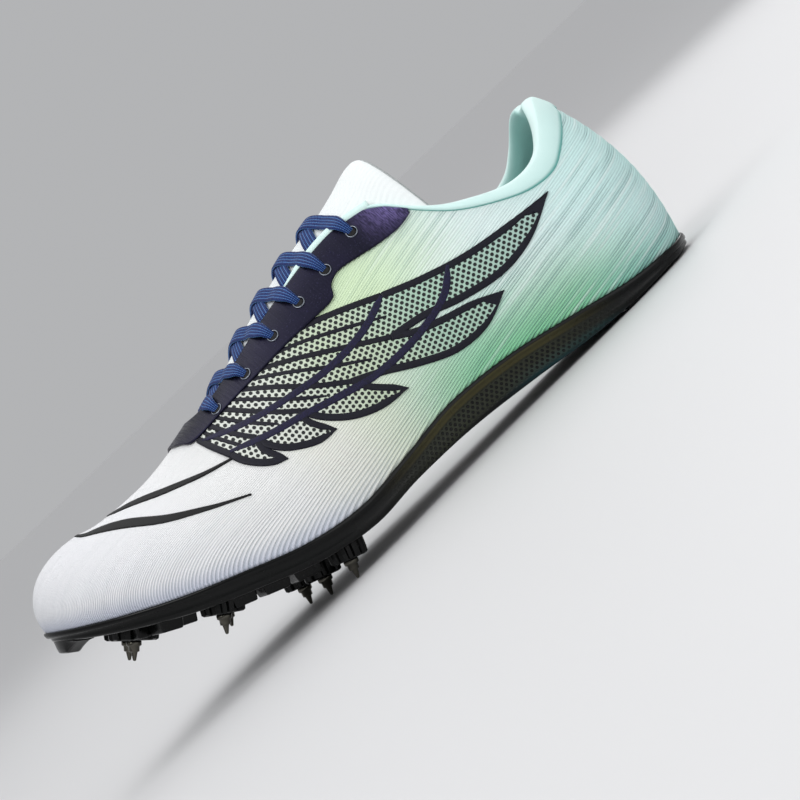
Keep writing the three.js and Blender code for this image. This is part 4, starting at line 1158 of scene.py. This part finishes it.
def make_eyelets():
    ring = [(2.05 + 0.26 * math.cos(a), 1.2 + 0.26 * math.sin(a)) for a in
            np.linspace(0, 2 * math.pi, 16, endpoint=False)]
    profile = ring[:9] + [(1.73, -1.6), (1.95, -1.6), (1.95, 0.8)] + ring[11:]
    # Painted shade: a dark disc under each ring stands for the shade inside the eyelet's hole.
    shade = [(0.0, 1.12), (1.0, 1.12), (1.78, 1.2), (1.78, 0.6), (0.0, 0.6)]
    for row in range(len(EYELETS)):
        for side, word in ((1, "lateral"), (-1, "medial")):
            point, normal = eyelet_place(row, side)
            place = turned_to(point, normal)
            points, faces = lathe(profile, 40, place)
            name = f"eyelet_{word}_{row + 1}"
            mesh = weld(to_mesh(f"ring_{word}_{row + 1}", points, faces), 0.001)
            make_piece(f"ring_{word}_{row + 1}", mesh, silver, [name])
            points, faces = lathe(shade, 32, place)
            mesh = weld(to_mesh(f"hole_{word}_{row + 1}", points, faces), 0.001)
            make_piece(f"hole_{word}_{row + 1}", mesh, black_print_and_hole_shade)


make_eyelets()

LACE_WIDTH, LACE_THICKNESS = 6.0, 1.2
OVER_STAY = 1.1 + 0.1 + LACE_THICKNESS / 2
OVER_TONGUE = -UPPER_WALL - GAP + 0.45 + LACE_THICKNESS / 2


def lace_section(count=44):
    """A flat cord's section with five soft ribs on either face: across, over."""
    across = np.linspace(-1, 1, count // 2)
    edge = np.sqrt(np.maximum(1 - np.abs(across) ** 6, 0))
    ribs = 0.82 + 0.18 * np.abs(np.cos(across * math.pi * 2.5))
    face = np.stack([across * LACE_WIDTH / 2, edge * ribs * LACE_THICKNESS / 2], -1)
    back = face[::-1][1:-1] * (1, -1)
    return np.concatenate([face, back])


def sweep(name, points, normals, section, scales, look, replaces=()):
    """A section, as pairs across and over, drawn along points with its top turned to the normals."""
    at, facing = np.asarray(points, float), np.asarray(normals, float)
    run = np.gradient(at, axis=0)
    run /= np.linalg.norm(run, axis=1, keepdims=True)
    sideways = np.cross(facing, run)
    sideways /= np.linalg.norm(sideways, axis=1, keepdims=True)
    up = np.cross(run, sideways)
    scale = np.asarray(scales, float)
    grid = (at[:, None] + sideways[:, None] * (section[None, :, 0] * scale[:, :1])[..., None]
            + up[:, None] * (section[None, :, 1] * scale[:, 1:])[..., None])
    length = np.concatenate([[0], np.cumsum(np.linalg.norm(np.diff(at, axis=0), axis=1))])
    count, around = len(at), len(section)
    points = np.concatenate([grid.reshape(-1, 3), at[:1], at[-1:]])
    uv = np.stack(np.broadcast_arrays(length[:, None], section[None, :, 0]), -1).reshape(-1, 2)
    uv = np.concatenate([uv, [[0, 0], [length[-1], 0]]]) / UV_SCALE
    mesh = weld(to_mesh(name, points, tube_faces(count, around), uv), 0.0005)
    return make_piece(name, mesh, look, replaces)


def strap(name, points, normals, widths, replaces=()):
    """A flat lace along points."""
    scales = np.stack([widths, np.ones(len(widths))], -1)
    return sweep(name, points, normals, lace_section(), scales, lace_weave, replaces)


def lace_path(row, side, end_row, end_x, hump, bar=False):
    """From the eyelet of one side, over the eyestay and the tongue, to the far edge of the throat."""
    x0 = along_x(EYELETS[row][0])
    off0 = side * EYELETS[row][1] * BALL_WIDTH
    off1 = -side * (EYELETS[end_row][1] * BALL_WIDTH if bar else throat_at(end_x) + 2.5)
    count = 61
    share = np.linspace(0, 1, count)
    xs, offs = mix(x0, end_x, share), mix(off0, off1, share)
    points, normals = [], []
    for x, off, t in zip(xs, offs, share):
        point, normal = from_above(x, crest_y(x) + off)
        inside = throat_at(x) - abs(off)
        down = smooth(-1.5, 6.5, inside)
        height = mix(OVER_STAY, OVER_TONGUE, down)
        if not bar and t > 0.5:
            height = mix(OVER_TONGUE, -UPPER_WALL - 0.9, smooth(2.5, -1.0, inside))
        height += hump * math.exp(-((t - 0.5) / 0.16) ** 2)
        from_eyelet = min(t, 1 - t) if bar else t
        height += 0.75 * math.exp(-((from_eyelet - 0.075) / 0.05) ** 2)
        height -= 1.5 * (1 - smooth(0.0, 0.045, from_eyelet))
        points.append(np.array(point + normal * height))
        normals.append(np.array(normal))
    widths = 0.5 + 0.5 * smooth(0, 0.13, np.minimum(share, 1 - share) if bar else share)
    return np.array(points), np.array(normals), widths


def make_laces():
    for i in range(5):
        for side, word, hump in ((1, "lateral", 1.25), (-1, "medial", 0.0)):
            end_x = along_x(EYELETS[i + 1][0]) - 2
            points, normals, widths = lace_path(i, side, i + 1, end_x, hump)
            replaces = [f"lace_row_{i + 1}"] if side > 0 else ()
            strap(f"lace_{word}_{i + 1}", points, normals, widths, replaces)
    points, normals, widths = lace_path(5, 1, 5, along_x(EYELETS[5][0]), 0.0, bar=True)
    strap("lace_toe_bar", points, normals, widths)


make_laces()


def make_piping():
    """The collar's roll runs on, thinner, along the top of the throat."""
    angles = np.linspace(0, 2 * math.pi, 18, endpoint=False)
    circle = np.stack([np.cos(angles), np.sin(angles)], -1)
    for side, word in ((1, "lateral"), (-1, "medial")):
        points, normals = [], []
        xs = np.linspace(55, 100, 50)
        for x in xs:
            point, normal = from_above(x, crest_y(x) + side * (throat_at(x) - 0.3))
            points.append(np.array(point + normal * 0.0))
            normals.append(np.array(normal))
        size = 1.7 * (1 - 0.7 * smooth(84, 100, xs))
        sweep(f"throat_piping_{word}", points, normals, circle, np.stack([size, size], -1),
              piping_jersey)


make_piping()


# Insole, plate, lugs, bosses and spikes

def outline_grid(out, height, along=220, over=26):
    """A surface under the foot between the lateral and the medial outline."""
    s = np.linspace(0, LAST, along)
    left = feather(s, 1) + outward(s, 1) * out
    right = feather(s, -1) + outward(s, -1) * out
    share = np.linspace(0, 1, over)[None, :, None]
    grid = mix(left[:, None], right[:, None], share)
    grid[..., 2] = height(s[:, None], share[..., 0] * 2 - 1)
    return grid


def make_insole():
    inset = -UPPER_WALL - 2 * GAP
    along, over = 220, 26
    top = outline_grid(inset, lambda s, c: feather_height(s) + 2.5 + 1.1 * np.abs(c) ** 3 - 0.2, along, over)
    low = outline_grid(inset, lambda s, c: feather_height(s) + 0 * c, along, over)
    points = np.concatenate([top.reshape(-1, 3), low.reshape(-1, 3)])
    faces = grid_faces(along, over, flip=True) + grid_faces(along, over, first=along * over)
    for k, flip in ((0, False), (over - 1, True)):
        for i in range(along - 1):
            a, b = i * over + k, (i + 1) * over + k
            face = (a, b, b + along * over, a + along * over)
            faces.append(face[::-1] if flip else face)
    mesh = weld(to_mesh("sock_liner", points, faces), 0.01)
    make_piece("sock_liner", mesh, sock_liner, ["insole"])


RIM, RIM_HEIGHT, RIM_STEP, EDGE_BEVEL = 1.1, 1.7, 0.8, 1.8


def plate_wall(s):
    """The plate's wall as (out, height) rows, from inside the top edge to the underside."""
    top, low = feather_height(s) - GAP, underside(s)
    wall = RIM - RIM_STEP
    deep = top - low
    rows = [(-6, top), (-1.2, top), (-0.1, top + 0.25), (0.45, top + 0.55), (0.85, top + 0.4), (RIM, top),
            (RIM, top - 0.7 * RIM_HEIGHT), (RIM - 0.25, top - RIM_HEIGHT), (wall, top - RIM_HEIGHT - 0.25)]
    for share in (0.35, 0.5, 0.65):
        height = top - np.maximum(deep * share, RIM_HEIGHT + 0.4)
        rows.append((wall - 0.1 * math.sin(math.pi * share), height))
    for angle in np.linspace(0, math.pi / 2, 5):
        rows.append((wall - EDGE_BEVEL * (1 - math.cos(angle)),
                     low + np.minimum(EDGE_BEVEL, 0.25 * deep) * (1 - math.sin(angle))))
    return rows


def make_plate():
    along, over = 300, 30
    s = np.linspace(0, LAST, along)
    rows = plate_wall(s)
    points, faces, uv = [], [], []
    drop_all = []
    for side in (1, -1):
        base = feather(s, side)
        away = outward(s, side)
        ring = []
        for out, height in rows:
            p = base + away * out
            p[:, 2] = height
            ring.append(p)
        ring = np.array(ring)
        drops = ring[5, :, 2][None] - ring[..., 2]
        faces += grid_faces(len(rows), along, first=len(points), flip=side < 0)
        points += list(ring.reshape(-1, 3))
        uv += list(np.stack([np.broadcast_to(base[:, 0], drops.shape), drops], -1).reshape(-1, 2) / UV_SCALE)
        drop_all.append(ring)
    for row, flip, relief in ((0, True, 0), (-1, False, 1)):
        left, right = drop_all[0][row], drop_all[1][row]
        share = np.linspace(0, 1, over)
        grid = mix(left[:, None], right[:, None], share[None, :, None])
        if relief:
            c = share[None, :] * 2 - 1
            x = grid[..., 0]
            arch = smooth(20, 45, x) * smooth(135, 110, x)
            groove = np.exp(-((np.abs(c) - 0.45) / 0.12) ** 2) * (1 - np.abs(c) ** 8)
            grid[..., 2] += arch * groove * 1.6
        faces += grid_faces(along, over, first=len(points), flip=flip)
        points += list(grid.reshape(-1, 3))
        uv += list(np.stack([grid[..., 0], 0 * grid[..., 0] + 12], -1).reshape(-1, 2) / UV_SCALE)
    mesh = weld(to_mesh("plate_shell", points, faces, uv), 0.004)
    make_piece("plate_shell", mesh, plate_plastic, ["outsole"])


def make_heel_pad():
    along, over, inset, front = 60, 20, -2.6, 15.0
    s_front = float(last_that(lambda s: along_x(value("along", s)) < front, np.zeros(1), np.full(1, LAST))[0])
    s = np.linspace(0, s_front, along)
    rings = []
    for out, lift in ((inset + 0.6, 1.0), (inset + 0.1, 0.35), (inset - 0.5, 0.0)):
        left, right = feather(s, 1) + outward(s, 1) * out, feather(s, -1) + outward(s, -1) * out
        rings.append((left, right, lift))
    points, faces = [], []
    share = np.linspace(0, 1, over)[None, :, None]
    for left, right, lift in rings:
        for edge in (left, right):
            edge[:, 2] = lift
    low = mix(rings[-1][0][:, None], rings[-1][1][:, None], share)
    high = mix(rings[0][0][:, None], rings[0][1][:, None], share)
    faces += grid_faces(along, over)
    points += list(low.reshape(-1, 3))
    faces += grid_faces(along, over, first=len(points), flip=True)
    points += list(high.reshape(-1, 3))
    for part, flip in ((0, True), (1, False)):
        strip = np.array([ring[part] for ring in rings])
        faces += grid_faces(3, along, first=len(points), flip=flip)
        points += list(strip.reshape(-1, 3))
    end = np.array([mix(ring[0][-1], ring[1][-1], share[0]) for ring in rings])
    faces += grid_faces(3, over, first=len(points))
    points += list(end.reshape(-1, 3))
    mesh = weld(to_mesh("heel_pad", points, faces), 0.004)
    make_piece("heel_pad", mesh, plate_plastic)


def underside_at(x):
    s = float(last_that(lambda one: along_x(value("along", one)) < x, np.zeros(1), np.full(1, LAST))[0])
    step = 0.05
    ends = np.array([s - step, min(s + step, LAST)])
    heights, places = underside(ends), along_x(value("along", ends))
    return float(underside(np.array([s]))[0]), math.atan2(heights[1] - heights[0], places[1] - places[0])


def block(long, wide, high, matrix, taper=0.84, bevel=0.7):
    """A bevelled lug: points and faces of a box that narrows downward, in its own frame."""
    bm = bmesh.new()
    bmesh.ops.create_cube(bm, size=1)
    for vertex in bm.verts:
        narrow = taper if vertex.co.z < 0 else 1
        vertex.co = Vector((vertex.co.x * long * narrow, vertex.co.y * wide * narrow, vertex.co.z * high))
    edges = [e for e in bm.edges if not all(v.co.z > 0 for v in e.verts)]
    bmesh.ops.bevel(bm, geom=edges, offset=bevel, segments=3, profile=0.6, affect="EDGES")
    bm.transform(matrix)
    points = [tuple(v.co) for v in bm.verts]
    bm.verts.index_update()
    faces = [tuple(v.index for v in f.verts) for f in bm.faces]
    bm.free()
    return points, faces


def joined(parts):
    points, faces = [], []
    for some, theirs in parts:
        faces += [tuple(len(points) + i for i in f) for f in theirs]
        points += list(some)
    return points, faces


def make_lugs():
    parts = []
    for along, aside, long, wide, turn in LUGS:
        x = along_x(along)
        z, slope = underside_at(x)
        matrix = (Matrix.Translation((x, aside * BALL_WIDTH, z)) @ Matrix.Rotation(-slope, 4, "Y")
                  @ Matrix.Rotation(math.radians(turn), 4, "Z")
                  @ Matrix.Translation((0, 0, -LUG_HEIGHT / 2 + 1)))
        parts.append(block(long, wide, LUG_HEIGHT + 2, matrix))
    points, faces = joined(parts)
    make_piece("lugs", to_mesh("lugs", points, faces), plate_plastic, flat=True)


CLEAT_FIRST, CLEAT_SLOPE, CLEAT_DEPTH = 13.6, math.radians(36), 3.9
# Section of the cleat: out from the tip of the plate, share of its depth
CLEAT_SECTION = [(0.3, -0.7), (0.4, -0.1), (-0.3, 0.6), (-0.8, 0.92), (-1.4, 1), (-4.4, 1), (-5.0, 0.92),
                 (-6.4, -0.1), (-6.4, -0.6)]


def make_toe_cleat():
    """A cleat that follows the tip of the plate, with a slanted front."""
    first = CLEAT_FIRST
    depth = np.array([math.sin(CLEAT_SLOPE), 0, -math.cos(CLEAT_SLOPE)])
    places = [(1, s) for s in np.linspace(first, LAST, 26)]
    places += [(-1, s) for s in np.linspace(LAST, first, 26)[1:]]
    rings = []
    for i, (side, s) in enumerate(places):
        one = np.array([s])
        base, away = feather(one, side)[0], outward(one, side)[0]
        low = float(underside(one)[0])
        deep = CLEAT_DEPTH * min(1, 5 * min(i, len(places) - 1 - i) / len(places)) + 0.2
        ring = []
        for out, share in CLEAT_SECTION:
            point = base + away * out
            point[2] = low + out * away[0] * math.tan(CLEAT_SLOPE)
            ring.append(point + depth * share * deep)
        rings.append(ring)
    around = len(rings[0])
    points = np.array(rings).reshape(-1, 3)
    faces = grid_faces(len(rings), around, wrap=True)
    faces += [tuple(range(around))[::-1], tuple(range((len(rings) - 1) * around, len(rings) * around))]
    mesh = weld(to_mesh("toe_cleat", points, faces), 0.001)
    make_piece("toe_cleat", mesh, plate_plastic, flat=True)


def spike_seat(along, aside, lean, boss, rests):
    angle = math.radians(lean)
    axis = Vector((-math.sin(angle), 0, math.cos(angle)))
    tip = Vector((along_x(along), aside * BALL_WIDTH, 0.6 * math.sin(angle)))
    if not rests:
        foot = along_x(along) - (SPIKE_LENGTH + BOSS_HEIGHT) * math.sin(angle)
        tip.z = underside_at(foot)[0] - (SPIKE_LENGTH + BOSS_HEIGHT) * axis.z
    return tip + axis * SPIKE_LENGTH, axis


def boss_solid(radius, matrix, teeth=10, around=160):
    """A toothed collar round a spike, with a dished mouth."""
    angles = np.linspace(0, 2 * math.pi, around, endpoint=False)
    tooth = smooth(0.3, 0.7, 0.5 + 0.5 * np.cos(teeth * angles)) * 0.16 + 0.84
    rings = [(0.40, 1.0), (0.42, 0.0), (0.55, 0.0), (0.9, 0.0), (1.0, 0.5), (1.03, 2.5), (1.06, 8.0)]
    points = []
    for share, height in rings:
        shape = tooth if share > 0.5 else 1.0 + 0 * tooth
        for a, t in zip(angles, shape):
            reach = radius * share * t
            points.append(matrix @ Vector((reach * math.cos(a), reach * math.sin(a), height)))
    faces = grid_faces(len(rings), around, wrap=True, flip=True)
    faces.append(tuple(range((len(rings) - 1) * around, len(rings) * around))[::-1])
    faces.append(tuple(range(around)))
    return [tuple(p) for p in points], faces


# A spike's stepped pin: radius, height over its seat
PIN_PROFILE = [(0.0, -7.0), (0.25, -6.97), (0.45, -6.85), (0.6, -6.6), (1.1, -4.2), (1.25, -3.9),
               (1.75, -3.75), (1.85, -3.6), (1.95, -2.0), (2.5, -1.7), (2.65, -1.5), (2.7, -0.4),
               (2.55, -0.1), (1.9, 0.3), (1.9, 2.6), (0.0, 2.6)]


def make_spikes():
    bosses = []
    for i, spike in enumerate(SPIKES):
        seat, axis = spike_seat(*spike)
        matrix = turned_to(seat, axis)
        bosses.append(boss_solid(spike[3], matrix))
        points, faces = lathe(PIN_PROFILE, 36, matrix)
        mesh = weld(to_mesh(f"pin_{i + 1}", points, faces), 0.002)
        make_piece(f"pin_{i + 1}", mesh, steel, [f"spike_{i + 1}"])
    points, faces = joined(bosses)
    make_piece("spike_bosses", to_mesh("spike_bosses", points, faces), plate_plastic, flat=True)


make_insole()
make_plate()
make_heel_pad()
make_lugs()
make_toe_cleat()
make_spikes()


# Stitched seam down the back of the heel

def make_back_seam():
    v_top = float(topline_share(np.zeros(1), 1)[0])
    points, normals = [], []
    for v in np.linspace(0.02, v_top * 0.97, 80):
        p = skin(np.zeros(1), 1, np.array([v]))[0]
        points.append(Vector(p))
        normals.append(Vector((-1, 0, 0.12)).normalized())
    ribbon("back_seam", list(zip(points, normals)), [1.1] * 80, 0.16, teal_thread, lift=0.12)


make_back_seam()


# Floor, light and camera

FLOOR_HALF = 20.0  # metres
SKY_COLOUR, SKY_STRENGTH = (0.9, 0.91, 0.93, 1), 0.5


def make_stage():
    size = FLOOR_HALF
    mesh = bpy.data.meshes.new("floor")
    corners = [(-size, -size, 0), (size, -size, 0), (size, size, 0), (-size, size, 0)]
    mesh.from_pydata(corners, [], [(0, 1, 2, 3)])
    floor = bpy.data.objects.new("floor", mesh)
    bpy.context.scene.collection.objects.link(floor)
    look = Look("Pale floor", rough=0.55)
    mesh.materials.append(look.finish(srgb(206, 206, 207)))
    world = bpy.data.worlds.new("Studio")
    bpy.context.scene.world = world
    world.use_nodes = True
    world.node_tree.nodes["Background"].inputs[0].default_value = SKY_COLOUR
    world.node_tree.nodes["Background"].inputs[1].default_value = SKY_STRENGTH
    bpy.context.scene.view_settings.view_transform = "Standard"


# Lamps: name, place, size in metres, power in watts
LIGHT_AIM = Vector((0.1, 0, 0.04))
LAMPS = [("key", (0.75, 0.9, 1.1), 0.9, 9), ("fill", (-0.7, 1.2, 0.5), 1.2, 4.5),
         ("top", (0.0, -0.2, 1.3), 1.0, 2.5), ("back", (-0.6, -0.9, 0.7), 0.9, 4.5)]


def soft_sun(strength, angle):
    data = bpy.data.lights.new("sky glow", "SUN")
    data.energy, data.angle = strength, math.radians(angle)
    lamp = bpy.data.objects.new("sky glow", data)
    bpy.context.scene.collection.objects.link(lamp)


def area_light(name, place, size, power):
    data = bpy.data.lights.new(name, "AREA")
    data.shape, data.size, data.energy = "DISK", size, power
    lamp = bpy.data.objects.new(name, data)
    bpy.context.scene.collection.objects.link(lamp)
    lamp.location = place
    lamp.rotation_euler = (LIGHT_AIM - Vector(place)).to_track_quat("-Z", "Y").to_euler()


CAMERA_PLACE = Vector((0.27173, 1.12575, 0.09386))
CAMERA_AIM = Vector((0.09165, 0.0, 0.03204))
CAMERA_ROLL = math.radians(43.757)
CAMERA_LENS = 144.9


def make_camera():
    data = bpy.data.cameras.new("camera")
    data.lens, data.sensor_width, data.clip_end = CAMERA_LENS, 36, 50
    camera = bpy.data.objects.new("camera", data)
    bpy.context.scene.collection.objects.link(camera)
    turn = (CAMERA_AIM - CAMERA_PLACE).to_track_quat("-Z", "Y")
    camera.rotation_mode = "QUATERNION"
    camera.rotation_quaternion = turn @ Matrix.Rotation(-CAMERA_ROLL, 3, "Z").to_quaternion()
    camera.location = CAMERA_PLACE
    bpy.context.scene.camera = camera


make_stage()
soft_sun(0.7, 80)
for lamp_settings in LAMPS:
    area_light(*lamp_settings)
make_camera()
